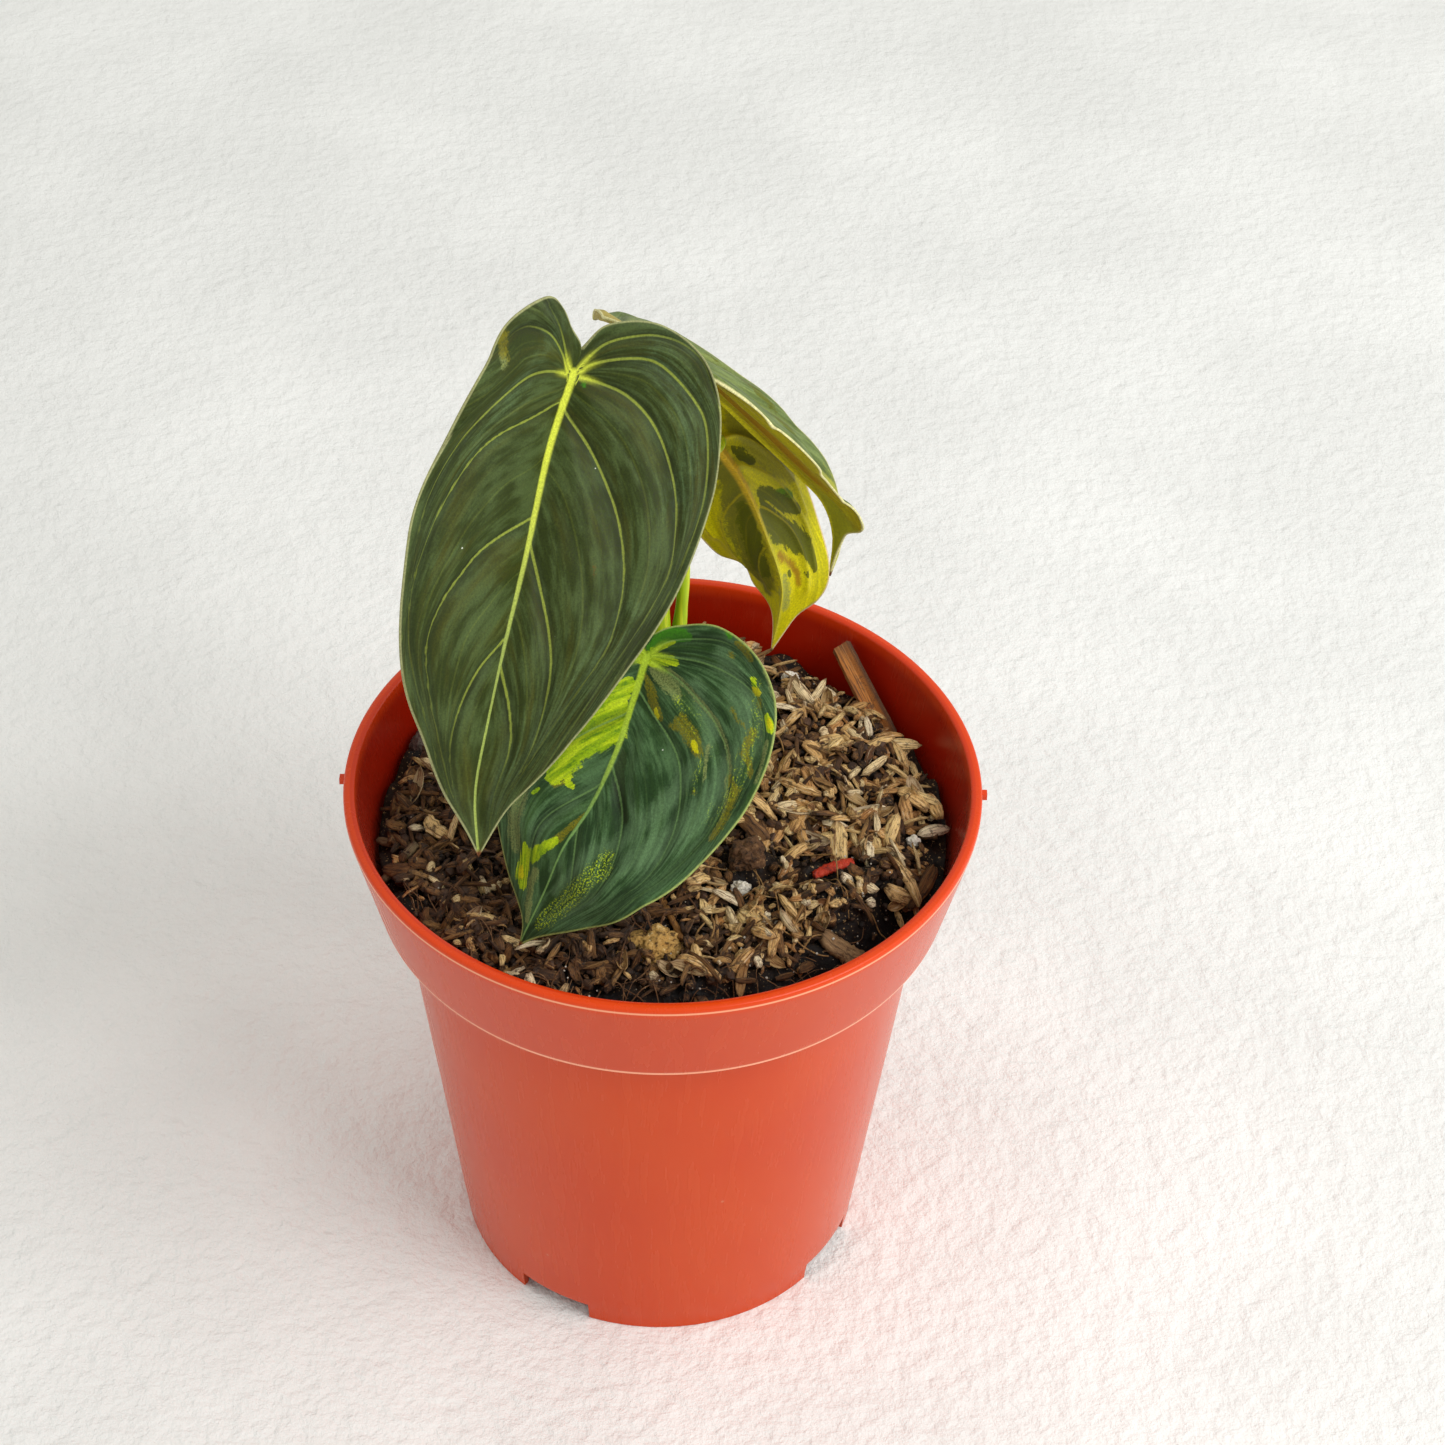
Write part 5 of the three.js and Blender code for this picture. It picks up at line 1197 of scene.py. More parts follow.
def chip(length, width, thickness, curl, taper, rng, across, steps, flip=False):
    """A split flake or a husk: a curved closed strip, ragged at its ends, hollow side down or up."""
    husk = taper > 0.9
    bend = rng.uniform(-0.25, 0.25)
    n = across + 1
    jag = [rng.uniform(0.86, 1.0) for _ in range(n * 2)]
    ragged = [rng.uniform(0.8, 1.12) for _ in range((steps + 1) * 2)]
    top, low, lay = [], [], []
    for i, j in product(range(steps + 1), range(n)):
        share, side = i / steps * 2 - 1, j / across * 2 - 1
        profile = max((1 - abs(share) ** 2.2) ** 0.7, 0.06) if husk else max(1 - taper * abs(share) ** 3, 0.35)
        x = share * length / 2 * {0: jag[j], steps: jag[n + j]}.get(i, 1.0)
        y = side * width / 2 * profile + bend * width * (share ** 2 - 0.3)
        if not husk:
            y *= ragged[i if side < 0 else steps + 1 + i]
        lift = curl * width * (1 - side ** 2) * profile - 0.06 * length * share ** 2 * rng.uniform(0.7, 1.2)
        ridge = 0.10 * thickness * math.cos(side * 9)
        body = thickness / 2 * (0.55 + 0.45 * profile)
        top.append((x, y, lift + body + ridge))
        low.append((x, y, lift - body))
        lay.append((share, side))
    size, faces = len(top), []
    for i, j in product(range(steps), range(across)):
        a, b, c, d = i * n + j, (i + 1) * n + j, (i + 1) * n + j + 1, i * n + j + 1
        faces += [(a, b, c, d), (d + size, c + size, b + size, a + size)]
    # Round the rim: along one side, along the other, and over the two ends.
    for i in range(steps):
        a, b = i * n, (i + 1) * n
        faces += [(a, a + size, b + size, b), (b + across, b + across + size, a + across + size, a + across)]
    for j in range(across):
        a = steps * n + j
        faces += [(j + 1, j + 1 + size, j + size, j), (a, a + size, a + 1 + size, a + 1)]
    vertices = top + low
    if flip:
        vertices = [(x, -y, -z) for x, y, z in vertices]
    return vertices, faces, [(*at, under) for under in (0.0, 1.0) for at in lay]


def icosphere(detail, radius, move):
    """Vertices and faces of an icosphere whose vertices are each moved by a function."""
    mesh = bmesh.new()
    bmesh.ops.create_icosphere(mesh, subdivisions=detail, radius=radius)
    vertices = [tuple(move(v.co)) for v in mesh.verts]
    faces = [tuple(v.index for v in f.verts) for f in mesh.faces]
    mesh.free()
    return vertices, faces


def crumb_grain(size, rng):
    """An angular grain of about 20 faces."""
    vertices, faces = icosphere(1, size / 2, lambda place: place * rng.uniform(0.72, 1.2))
    return vertices, faces, [(0.3 * math.sin(9 * i), 0.3 * math.cos(5 * i), 0) for i in range(len(vertices))]


def scattered_litter():
    """Geometry Nodes: lays shapes from a collection over a surface, tipped and turned at random."""
    tree, add, entry = start_group(
        "scattered_litter", ("Shapes", "Collection"), ("Material", "Material"), ("Spread", "String", ""),
        ("Seed", "Int", 1), *((label, "Float", 1.0) for label in SCATTER))
    seed, tilt = entry["Seed"], entry["Tilt"]
    share = add("GeometryNodeInputNamedAttribute", {"Name": entry["Spread"]}, "Attribute", data_type="FLOAT")
    density = add("Math", (entry["Density"], share), **TIMES)
    points = add("GeometryNodeDistributePointsOnFaces",
                 {"Mesh": entry["Geometry"], "Density": density, "Seed": seed}, None, distribute_method="RANDOM")
    lift, size, tone = (
        add("FunctionNodeRandomValue", {2: entry[low], 3: entry[high], "Seed": seed}, 1, data_type="FLOAT")
        for low, high in (SCATTER[2:4], SCATTER[4:6], SCATTER[6:8]))
    rise = add("VectorMath", {0: points["Normal"], "Scale": lift}, operation="SCALE")
    raised = add("GeometryNodeSetPosition", {"Geometry": points["Points"], "Offset": rise})
    shapes = add("GeometryNodeCollectionInfo",
                 {"Collection": entry["Shapes"], "Separate Children": True, "Reset Children": True})
    back = add("Math", (tilt, -1.0), **TIMES)
    low, high = add("CombineXYZ", (back, back, -math.pi)), add("CombineXYZ", (tilt, tilt, math.pi))
    spin = add("FunctionNodeRandomValue", {0: low, 1: high, "Seed": seed}, data_type="FLOAT_VECTOR")
    turn = add("FunctionNodeEulerToRotation", (spin,))
    lie = add("FunctionNodeRotateRotation", {"Rotation": points["Rotation"], "Rotate By": turn},
              rotation_space="LOCAL")
    laid = add("GeometryNodeInstanceOnPoints", {"Points": raised, "Instance": shapes, "Pick Instance": True,
                                                "Rotation": lie, "Scale": size})
    toned = add("GeometryNodeStoreNamedAttribute", {"Geometry": laid, "Name": "tone", "Value": tone},
                data_type="FLOAT", domain="INSTANCE")
    finish_group(add, toned, entry["Material"])
    return tree


def bed_surface():
    """The top of the mix as a sheet that holds how thick each kind of litter lies."""
    x, y = np.meshgrid(*[np.linspace(-SHEET_HALF, SHEET_HALF, SHEET_LINES)] * 2, indexing="ij")
    keep = np.hypot(x, y) < LITTER_RADIUS
    index = -np.ones(x.shape, int)
    index[keep] = np.arange(keep.sum())
    x, y = x[keep], y[keep]
    cells = product(range(SHEET_LINES - 1), repeat=2)
    quads = (index[[i, i + 1, i + 1, i], [j, j, j + 1, j + 1]] for i, j in cells)
    obj = mesh_object("litter_bed", np.stack([x, y, mix_height(x, y)], -1), [q for q in quads if min(q) >= 0])
    reach = np.hypot(x, y)
    # Husks lie mostly on the right and the back, wet bark on the left and the front.
    right = smoothstep(x * 0.9 + y * 0.2 + 4 * np.sin(y * 0.2), -14, 14)
    opened = trench_opening(x, y)
    trench = 1 - smoothstep(reach, 40.8, 44.0) * opened
    inside = 1 - smoothstep(reach, 50.0, 52.0)
    clear, wide = np.ones_like(x), np.ones_like(x)
    for x0, y0, radius in KEEP_CLEAR:
        away = np.hypot(x - x0, y - y0)
        clear = clear * smoothstep(away, radius * 0.8, radius * 1.15)
        wide = wide * smoothstep(away, radius + 0.8, radius + 3.2)
    patchy = 0.55 + 0.75 * smoothstep(crumb(x, y, 0.09, 3, 21.0), -0.35, 0.35)
    set_values(obj.data, husks=(0.12 + 0.88 * right) * trench * inside * wide * patchy,
               bark=(1.0 - 0.6 * right) * trench * inside * wide,
               bits=(0.5 + 0.5 * right) * trench * inside * clear,
               crumbs=(1 - 0.6 * right) * inside * (0.04 + 0.96 * clear) * (0.12 + 0.88 * trench),
               dust=(0.15 + 0.85 * opened * smoothstep(reach, 20, 40)) * inside)
    return obj


def litter_material(name, ramp):
    """Dry and wet plant litter: husk, bark and wood, all matte, each bit its own shade, grain lengthwise."""
    material, add = start_material(name)
    tone = add("Attribute", out="Fac", attribute_name="tone")
    lay = add("Attribute", out="Vector", attribute_name="lay")
    shades = add("ValToRGB", (tone,))
    stops = shades.node.color_ramp.elements
    while len(stops) < len(ramp):
        stops.new(0.5)
    for stop, (position, colour) in zip(stops, ramp):
        stop.position, stop.color = position, linear(colour)
    # Grain lines along each bit, six or seven across it, and no two bits alike.
    grained = add("Mapping", {"Vector": lay, "Scale": (0.9, 2.6, 1.0)})
    apart = add("CombineXYZ", [add("Math", (tone, step), **TIMES) for step in (47.0, 91.0)])
    shifted = add("VectorMath", (grained, apart), **PLUS)
    grain, blot = (add("TexNoise", {"Vector": where, "Scale": scale, "Detail": 5.0, "Roughness": 0.75})
                   for where, scale in ((shifted, 1.3), (add("TexCoord", out="Object"), 520.0)))
    along, _, hollow = add("SeparateXYZ", (lay,), None)
    (_, first), (_, second), *_, (_, last) = ramp
    colour = paint(
        add, shades, (grain, 0.50, 0.58, 0.0, 0.85, second), (grain, 0.44, 0.37, 0.0, 0.75, last),
        (blot, 0.53, 0.66, 0.0, 0.8, first),
        # The hollow side is browner, and the ends are stained.
        (hollow, 0.2, 0.8, 0.0, 0.5, second),
        (add("Math", (along,), operation="ABSOLUTE"), 0.62, 1.0, 0.0, 0.45, second))
    finish_material(add, colour, 0.62, (grain, 0.0004, 1.0), {"IOR": 1.45})
    return material


def soil_material():
    """Damp composted bark and coir: near black in the gaps, brown and crumbly on top, with painted shade in the
    trench along the front wall.
    """
    material, add = start_material("damp_composted_bark")
    place = add("TexCoord", out="Object")
    crumbs = add("TexVoronoi", {"Vector": place, "Scale": 700.0}, "Distance")
    broad, fine, grit = (
        add("TexNoise", {"Vector": place, "Scale": scale, "Detail": detail, "Roughness": rough})
        for scale, detail, rough in ((90.0, 3.0, 0.5), (1300.0, 4.0, 0.7), (1900.0, 1.0, 0.5)))
    # Painted shade: the trench along the front wall is painted darker still.
    deep = add("Math", (add("Attribute", out="Fac", attribute_name="deep"), 0.9), **TIMES)
    colour = paint(add, "#0d0805", (broad, 0.4, 0.65, "#2a190c"), (fine, 0.52, 0.74, 0.0, 0.5, "#5e4126"),
                   (fine, 0.46, 0.3, 0.0, 0.7, "#0d0805"), (grit, 0.66, 0.70, 0.0, 0.8, "#b89868"),
                   (deep, "#070505"))
    rough = add("MapRange", (broad, 0.35, 0.65, 0.45, 0.9), **SMOOTH)
    finish_material(add, colour, rough, (add("Math", (fine, crumbs), **PLUS), 0.0004, 0.9), {"IOR": 1.36})
    return material


# Split litter: sizes of its variants (length, width, thickness), curl, taper, facets across and along.
CHIPS = {
    "husks": (((7.6, 2.6, 0.34), (6.6, 2.3, 0.32), (8.2, 2.2, 0.3), (6.0, 2.7, 0.36), (7.2, 1.7, 0.3),
               (7.8, 2.4, 0.32)), 0.3, 1.0, 6, 7),
    "flakes": (((9.2, 3.4, 0.8), (11.0, 2.8, 0.9), (6.4, 3.0, 0.7), (9.6, 2.0, 0.8), (7.6, 3.1, 0.8)),
               0.1, 0.5, 5, 7),
    "splinters": (((9.5, 0.9, 0.6), (7.0, 0.7, 0.4), (5.0, 1.0, 0.5)), 0.2, 0.7, 2, 7),
    "bits": (((3.4, 1.6, 0.4), (2.2, 1.4, 0.4), (4.4, 1.2, 0.4), (1.6, 1.0, 0.4)), 0.15, 0.5, 2, 3),
}
GRAINS = {"grains": (2.4, 1.6, 1.1, 0.8), "specks": (0.45, 0.32)}
RAMPS = {
    "dry_husk_and_bark": ((0.0, "#2a170a"), (0.2, "#6e4420"), (0.42, "#b98042"), (0.66, "#dfb06c"),
                          (0.88, "#eccb88"), (1.0, "#fae8c2")),
    "wet_bark_and_coir": ((0.0, "#0d0704"), (0.3, "#281709"), (0.6, "#4b2e15"), (0.85, "#7a5228"), (1.0, "#a87e46")),
    "perlite_dust": ((0.0, "#6f6250"), (0.2, "#a89c88"), (1.0, "#efe9dc")),
}
# What each kind of litter sets on the scatter: bits a square millimetre, tilt in radians, lift off the surface in
# millimetres, size as a share, tone.
SCATTER = ("Density", "Tilt", "Lift Low", "Lift High", "Smallest", "Largest", "Tone Low", "Tone High")
SCATTER_UNITS = (PER_MM2, 1, MM, MM, 1, 1, 1, 1)
LITTER = (
    ("litter_husks", "husks", "dry_husk_and_bark", "husks", (None, 0.55, 0.4, 2.2, 0.6, 1.1, 0.2, 1.0)),
    ("litter_flakes", "flakes", "dry_husk_and_bark", "husks", (0.03, 0.5, 0.0, 1.8, 0.45, 1.05, 0.05, 0.85)),
    ("litter_bark", "flakes", "wet_bark_and_coir", "bark", (0.03, 0.7, 0.0, 1.5, 0.35, 1.0, 0.0, 0.85)),
    ("litter_splinters", "splinters", "dry_husk_and_bark", "husks", (0.045, 0.5, 0.3, 2.2, 0.4, 1.05, 0.1, 0.95)),
    ("litter_needles", "splinters", "wet_bark_and_coir", "bark", (0.13, 0.6, 0.2, 1.9, 0.4, 1.2, 0.1, 1.0)),
    ("litter_bits", "bits", "dry_husk_and_bark", "bits", (0.22, 0.9, 0.2, 1.6, 0.5, 1.2, 0.05, 1.0)),
    ("litter_wet_bits", "bits", "wet_bark_and_coir", "crumbs", (0.42, 0.9, 0.0, 1.5, 0.5, 1.3, 0.0, 0.9)),
    ("litter_crumbs", "grains", "wet_bark_and_coir", "crumbs", (0.6, 3.0, -0.2, 1.0, 0.5, 1.2, 0.0, 0.6)),
    ("litter_dust", "specks", "perlite_dust", "dust", (0.10, 3.0, 0.4, 1.5, 0.6, 1.3, 0.0, 1.0)),
)


def make_litter(husk_density):
    """Lays husks, bark, splinters and grains over the bed, each kind as a piece of its own."""
    bed, tree, rng = bed_surface(), scattered_litter(), random.Random(41)
    materials = {name: litter_material(name, ramp) for name, ramp in RAMPS.items()}
    shapes = {kind: [chip(*size, curl, taper, rng, across, steps, flip=kind == "husks" and i % 2 == 1)
                     for i, size in enumerate(sizes)]
              for kind, (sizes, curl, taper, across, steps) in CHIPS.items()}
    shapes |= {kind: [crumb_grain(size, rng) for size in sizes] for kind, sizes in GRAINS.items()}
    made = []
    for seed, (name, kind, material, spread, (density, *row)) in enumerate(LITTER, 11):
        # The variants are kept out of the scene, for the scatter to pick from.
        variants = bpy.data.collections.new(name + "_shapes")
        for i, (vertices, faces, lay) in enumerate(shapes[kind]):
            mesh = mesh_from(f"{name}_shapes_{i}", vertices, faces)
            set_values(mesh, lay=np.array(lay))
            variants.objects.link(bpy.data.objects.new(mesh.name, mesh))
        row = [value * unit_size for value, unit_size in zip((density or husk_density, *row), SCATTER_UNITS)]
        made.append(bake(bed, tree, {"Shapes": variants, "Material": materials[material], "Spread": spread,
                                     "Seed": seed, **dict(zip(SCATTER, row))}, name))
        made[-1].data.shade_flat()
        drop(*variants.objects)
        bpy.data.collections.remove(variants)
    drop(bed)
    return made


# ------------------------------------------------------------------ stem, petioles, roots and fibres

def tube(points, radii, sides, per, seed=0.0, wobble=0.0):
    """A closed round tube along a smooth path."""
    path = space_curve(points, per)
    stations = along_lengths(path)
    tangents = unit(np.gradient(path, stations, axis=0))
    radius = np.interp(stations / stations[-1], np.linspace(0, 1, len(radii)), radii)
    vertices, faces = [], []
    side = np.array([0.0, 1.0, 0.0] if abs(tangents[0][0]) > 0.95 else [1.0, 0.0, 0.0])
    for centre, tangent, wide, station in zip(path, tangents, radius, stations):
        side = unit(side - (side @ tangent) * tangent)
        other = np.cross(tangent, side)
        for k in range(sides):
            a = k / sides * math.tau
            r = wide * (1 + wobble * math.sin(station * 0.7 + 3 * a + seed))
            vertices.append(centre + side * r * math.cos(a) + other * r * math.sin(a))
    at = lambda i, k: i * sides + k % sides
    last = len(path) - 1
    for i, k in product(range(last), range(sides)):
        faces.append((at(i, k), at(i, k + 1), at(i + 1, k + 1), at(i + 1, k)))
    for end, sign in ((0, -1), (last, 1)):
        pole = len(vertices)
        vertices.append(path[end] + sign * tangents[end] * radius[end] * 0.35)
        faces += [(pole, *(at(end, k), at(end, k + 1))[::sign]) for k in range(sides)]
    return np.array(vertices), faces


def join_shapes(shapes):
    vertices, faces, count = [], [], 0
    for points, polygons in shapes:
        vertices.append(points)
        faces += [tuple(i + count for i in polygon) for polygon in polygons]
        count += len(points)
    return np.vstack(vertices), faces


PETIOLE_GAP = 0.35  # from the end of a petiole's path to the blade's underside


def make_stem():
    """The stem and its four petioles, each of which meets the underside of its blade."""
    shapes = [tube(STEM["path"], STEM["radii"], 28, 24, wobble=0.02)]
    for name, petiole in PETIOLES.items():
        (centre,), _, (normal,), _, _ = BladeForm(LEAVES[name]).frame(np.array([0.0]))
        below = LEAF_THICKNESS / 2 + PETIOLE_GAP
        ends = [tuple(centre - normal * down) for down in (below + petiole["hook"], below)]
        thin = petiole["radii"][-1]
        shapes.append(tube([*petiole["path"], *ends], [*petiole["radii"], thin * 1.05, thin * 1.35], 24, 18,
                           seed=len(shapes), wobble=0.015))
    return join_shapes(shapes)


def stem_material():
    """Young fleshy plant stem: bright yellow-green and waxy, with painted shade: darker green on the side that faces
    -X, away from the key light.
    """
    material, add = start_material("living_petiole_green")
    place = add("TexCoord", out="Object")
    tall = add("Mapping", {"Vector": place, "Scale": (1600.0, 1600.0, 60.0)})
    fibres = add("TexNoise", {"Vector": tall, "Scale": 1.0, "Detail": 3.0})
    # Painted shade: where the surface faces -X, away from the key light, the stem is painted darker green.
    side = add("SeparateXYZ", (add("NewGeometry", out="Normal"),))
    height = add("SeparateXYZ", (place,), 2)
    colour = paint(add, "#a9c51c", (fibres, 0.35, 0.7, "#cfdc2a"), (side, 0.1, -0.8, 0.0, 0.8, "#6f9a16"),
                   (height, 0.112, 0.100, 0.0, 0.8, "#8a7a34"))
    finish_material(add, colour, 0.42, (fibres, 0.0001, 0.4),
                    {"IOR": 1.42, "Subsurface Weight": 0.15, "Subsurface Scale": 0.0015})
    return material


# Roots and fibres: seed, count, radii of the ring where they start, thickness, arc in degrees, three colours.
FIBRES = {
    "coir_fibres": (51, 150, (14, 50), (0.08, 0.2), (100, 290), "#5e3c1e", "#2f1c0e", "#8b6234"),
    "dry_fibres": (52, 90, (6, 49), (0.08, 0.22), (-80, 120), "#9a7442", "#5a3c1e", "#c9a874"),
    "fine_roots": (53, 90, (44, 51.5), (0.06, 0.13), (-150, -40), "#7a5634", "#3a2414", "#a98a60"),
}


def make_fibres(seed, count, reach, radius, arc):
    """Thin roots and coir fibres that wander over the mix."""
    rng = random.Random(seed)
    shapes = []
    for _ in range(count):
        a, r = math.radians(rng.uniform(*arc)), rng.uniform(*reach)
        x, y = r * math.cos(a), r * math.sin(a)
        heading = rng.uniform(0, math.tau)
        points = []
        for _ in range(rng.randint(4, 7)):
            inside = min(1.0, FIBRE_RADIUS / max(math.hypot(x, y), 1e-6))
            x, y = x * inside, y * inside
            points.append((x, y, float(mix_height(x, y)) + rng.uniform(0.4, 2.6)))
            heading += rng.uniform(-0.8, 0.8)
            step = rng.uniform(1.6, 3.4)
            x, y = x + step * math.cos(heading), y + step * math.sin(heading)
        thick = rng.uniform(*radius)
        shapes.append(tube(points, [thick, thick, thick * 0.5], 5, 4))
    return join_shapes(shapes)


# ------------------------------------------------------------------ loose bits on the mix

# Where each lump lies, its size, its turn in degrees, its seed and how deep its surface is broken.
LUMP_PIECES = {
    "cork_chunk": ((-0.5, -32), (9.4, 7.8, 5), 15, 3.1, 0.36),
    "bark_lump": ((16, -12), (7.2, 6.2, 5.4), 30, 5.2, 0.34),
    "stone": ((-47, 22), (8.5, 6, 6), 70, 8.3, 0.22),
    "perlite_grain_1": ((15, -16.5), (3.6, 3.2, 3), 0, 11.4, 0.32),
    "perlite_grain_2": ((47.5, -4), (2.6, 2.4, 2.2), 0, 12.5, 0.3),
    "perlite_grain_3": ((24, 40), (3.4, 2.8, 2.6), 0, 13.6, 0.3),
}
# The ends of each slip, how high each end is over the mix, width, thickness and seed.
SLIP_PIECES = {
    "plastic_shard": ((28.3, -14), (36.2, -10.3), (2.2, 2.9), 2.4, 1.0, 21),
    "bark_flake": ((29.5, -29), (39, -30.5), (1.6, 1.2), 4.6, 1.8, 22),
    "twig_left": ((-54.2, -4.2), (-46.8, -7.6), (0.9, 0.5), 1.8, 1.4, 23),
    "twig_front_left": ((-52.2, -15), (-46, -8.4), (0.8, 2.4), 1.9, 1.4, 24),
    "twig_front": ((-1, -18), (4.6, -31.5), (0.9, 0.6), 1.3, 1.0, 25),
}
STICK_FOOT, STICK_TOP, STICK_STATIONS = (43.4, 28.6, 99.4), (34, 42.6, 110.6), 14
# The stick's section, out and up, and the tone of its wood at each corner.
STICK_SECTION = ((-2.4, -0.7, 0.18), (-2.0, 0.9, 0.12), (-0.9, 1.6, 0.2), (0.5, 1.5, 0.9), (2.3, 0.3, 0.85),
                 (2.1, -1.3, 0.6), (0.2, -1.7, 0.3), (-1.6, -1.5, 0.2))
PERLITE = ("expanded_perlite", "#f2ead8", "#c9b99a", "#fdfaf0", "perlite")
# Material, its base, dark and pale colours, and the record's slot.
BIT_LOOKS = {
    "cork_chunk": ("rough_cork", "#c69a52", "#3c230c", "#ecd094", "cork"),
    "bark_lump": ("composted_bark_lump", "#5f4024", "#24150a", "#8a6540", "bark"),
    "stone": ("dusty_stone", "#6e5f57", "#41352e", "#8f8078", "stone"),
    "perlite_grain_1": PERLITE, "perlite_grain_2": PERLITE, "perlite_grain_3": PERLITE,
    "plastic_shard": ("scuffed_red_polypropylene", "#c8361a", "#6a1a0c", "#e2603c", "shard_plastic"),
    "bark_flake": ("conifer_bark_flake", "#927048", "#4a321c", "#bb9a68", "bark"),
    "twig_left": ("dry_twig", "#86714f", "#4c3b26", "#b29a70", "twig"),
    "twig_front_left": ("dry_twig", "#86714f", "#4c3b26", "#b29a70", "twig"),
    "twig_front": ("orange_splinter", "#a87438", "#6a421c", "#c99a58", "twig"),
    "wood_stick": ("split_wood", "#c0742e", "#5a3c28", "#e09c50", "wood_stick"),
}


def rough_lump(name, centre, size, turn, seed, bite):
    """A rounded lump with a broken surface."""
    rotate = Matrix.Rotation(math.radians(turn), 3, "Z")

    def move(place):
        d = place.normalized()
        shape = 1 + bite * noise.fractal(d * 1.4 + Vector((seed, 0, 0)), 1.0, 2.0, 4)
        shape += 0.3 * bite * noise.fractal(d * 3.6 + Vector((0, seed, 0)), 0.8, 2.2, 4)
        shape -= 0.5 * bite * max(0.0, noise.fractal(d * 7 + Vector((seed, seed, 0)), 0.7, 2.1, 3))
        return rotate @ (d * Vector(size) * 0.5 * shape) + Vector(centre)

    return mesh_object(name, *icosphere(5, 1.0, move))


def laid_axes(start, end):
    """Unit vectors along a line, level across it and square to both, and the line's length."""
    along = unit(end - start)
    across = unit(np.cross([0, 0, 1.0], along))
    return along, across, np.cross(along, across), np.linalg.norm(end - start)


def slip(name, start, end, width, thickness, seed):
    """A split twig, flake or shard between two points."""
    vertices, faces, lay = chip(1.0, 1.0, 1.0, 0.0, 0.35, random.Random(seed), 8, 24)
    along, across, up, length = laid_axes(start, end)
    made = []
    for (x, y, z), (share, side, _) in zip(vertices, lay):
        ridge = 0.08 * noise.fractal(Vector((share * 3, side * 3, seed)), 1.0, 2.0, 3)
        body = (1.0 if z > 0 else -1.0) * math.sqrt(max(0.0, 1 - 0.75 * side ** 2)) * (0.5 + ridge)
        rise = (body + 0.15 * (1 - share ** 2)) * thickness
        made.append((start + end) / 2 + along * x * length + across * y * width + up * rise)
    obj = mesh_object(name, made, faces)
    set_values(obj.data, lay=lay, tone=np.full(len(made), 0.5))
    return obj


def split_stick(name, foot, top):
    """A split stick between two points: a flat fresh face, a barked back, square broken ends."""
    rng = random.Random(61)
    along, across, out, length = laid_axes(foot, top)
    n, last = len(STICK_SECTION), STICK_STATIONS - 1
    vertices, lay, tone = [], [], []
    for i, (a, b, shade) in product(range(STICK_STATIONS), STICK_SECTION):
        share = i / last
        end = rng.uniform(-0.5, 0.5) if i in (0, last) else 0.0
        wide = lerp(1.0, 0.86, share) * rng.uniform(0.97, 1.03)
        vertices.append(foot + along * (share * length + end) + across * a * wide + out * b * wide)
        lay.append((share * 2 - 1, a / 2.4 + 0.4 * b, 0.0))
        tone.append(shade)
    at = lambda i, k: i * n + k % n
    faces = [(at(i, k), at(i, k + 1), at(i + 1, k + 1), at(i + 1, k)) for i, k in product(range(last), range(n))]
    faces += [tuple(at(0, k) for k in reversed(range(n))), tuple(at(last, k) for k in range(n))]
    obj = mesh_object(name, vertices, faces, smooth=False)
    outward(obj)
    set_values(obj.data, lay=lay, tone=tone)
    return obj


def plain_litter_material(name, base, dark, pale, roughness=0.8):
    """Bark, cork, twig, perlite or stone: matte, mottled and pitted at the grain's own scale."""
    material, add = start_material(name)
    place = add("TexCoord", out="Object")
    mottle, pits = (add("TexNoise", {"Vector": place, "Scale": scale, "Detail": detail, "Roughness": 0.7})
                    for scale, detail in ((750.0, 6.0), (1500.0, 3.0)))
    colour = paint(add, base, (mottle, 0.50, 0.62, 0.0, 0.85, dark), (mottle, 0.44, 0.32, pale),
                   (pits, 0.58, 0.72, 0.0, 0.7, dark))
    relief = weighted(add, (pits, 0.5), (mottle, 1.0))
    finish_material(add, colour, roughness, (relief, 0.0006, 0.9), {"IOR": 1.45})
    return material


def node_height(name):
    """Middle height of a CAD node, in millimetres: where the piece that stands for it sits."""
    low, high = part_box(name)
    return (low[2] + high[2]) / 2 / MM


def dress_bit(obj, name):
    """Gives a loose bit its material, made once for each look."""
    title, base, dark, pale, slot = BIT_LOOKS[name]
    if title in bpy.data.materials:
        material = bpy.data.materials[title]
    elif name in LUMP_PIECES or name == "plastic_shard":
        material = plain_litter_material(title, base, dark, pale, 0.4 if name == "plastic_shard" else 0.8)
    else:
        material = litter_material(title, ((0.0, dark), (0.15, dark), (0.5, base), (0.85, base), (1.0, pale)))
    finish_piece(obj, name, slot=slot, material=material)


# ------------------------------------------------------------------ stage

# Place in metres, side in metres and colour of each light.
LIGHTS = {
    "key": ((0.66, -0.46, 0.86), 0.62, "#fdfdff"),
    "fill": ((1.1, 0.25, 0.6), 0.9, "#ffffff"),
}
LIT_POINT = (0, 0, 0.09)
FLOOR_HALF = 3000
SENSOR_WIDTH, CLIP_START, CLIP_END = 36.0, 0.05, 20.0


def plaster_material():
    """Plaster painted white: matte, dabbed by the roller, with a faint broad drift of tone."""
    material, add = start_material("painted_plaster_white")
    place = add("TexCoord", out="Object")
    broad, dabs = (add("TexNoise", {"Vector": place, "Scale": scale, "Detail": detail, "Roughness": rough})
                   for scale, detail, rough in ((14.0, 4.0, 0.5), (210.0, 5.0, 0.6)))
    colour = paint(add, "#eeefeb", (broad, 0.35, 0.7, "#f7f8f4"))
    # The relief fades out beyond half a metre, where its grain is finer than the picture can show.
    relief = share_of(add, (dabs,), (add("VectorMath", (place,), "Value", **LENGTH), 0.35, 0.9, 1.0, 0.0))
    finish_material(add, colour, 0.9, (relief, 0.0016, 0.9), {})
    return material


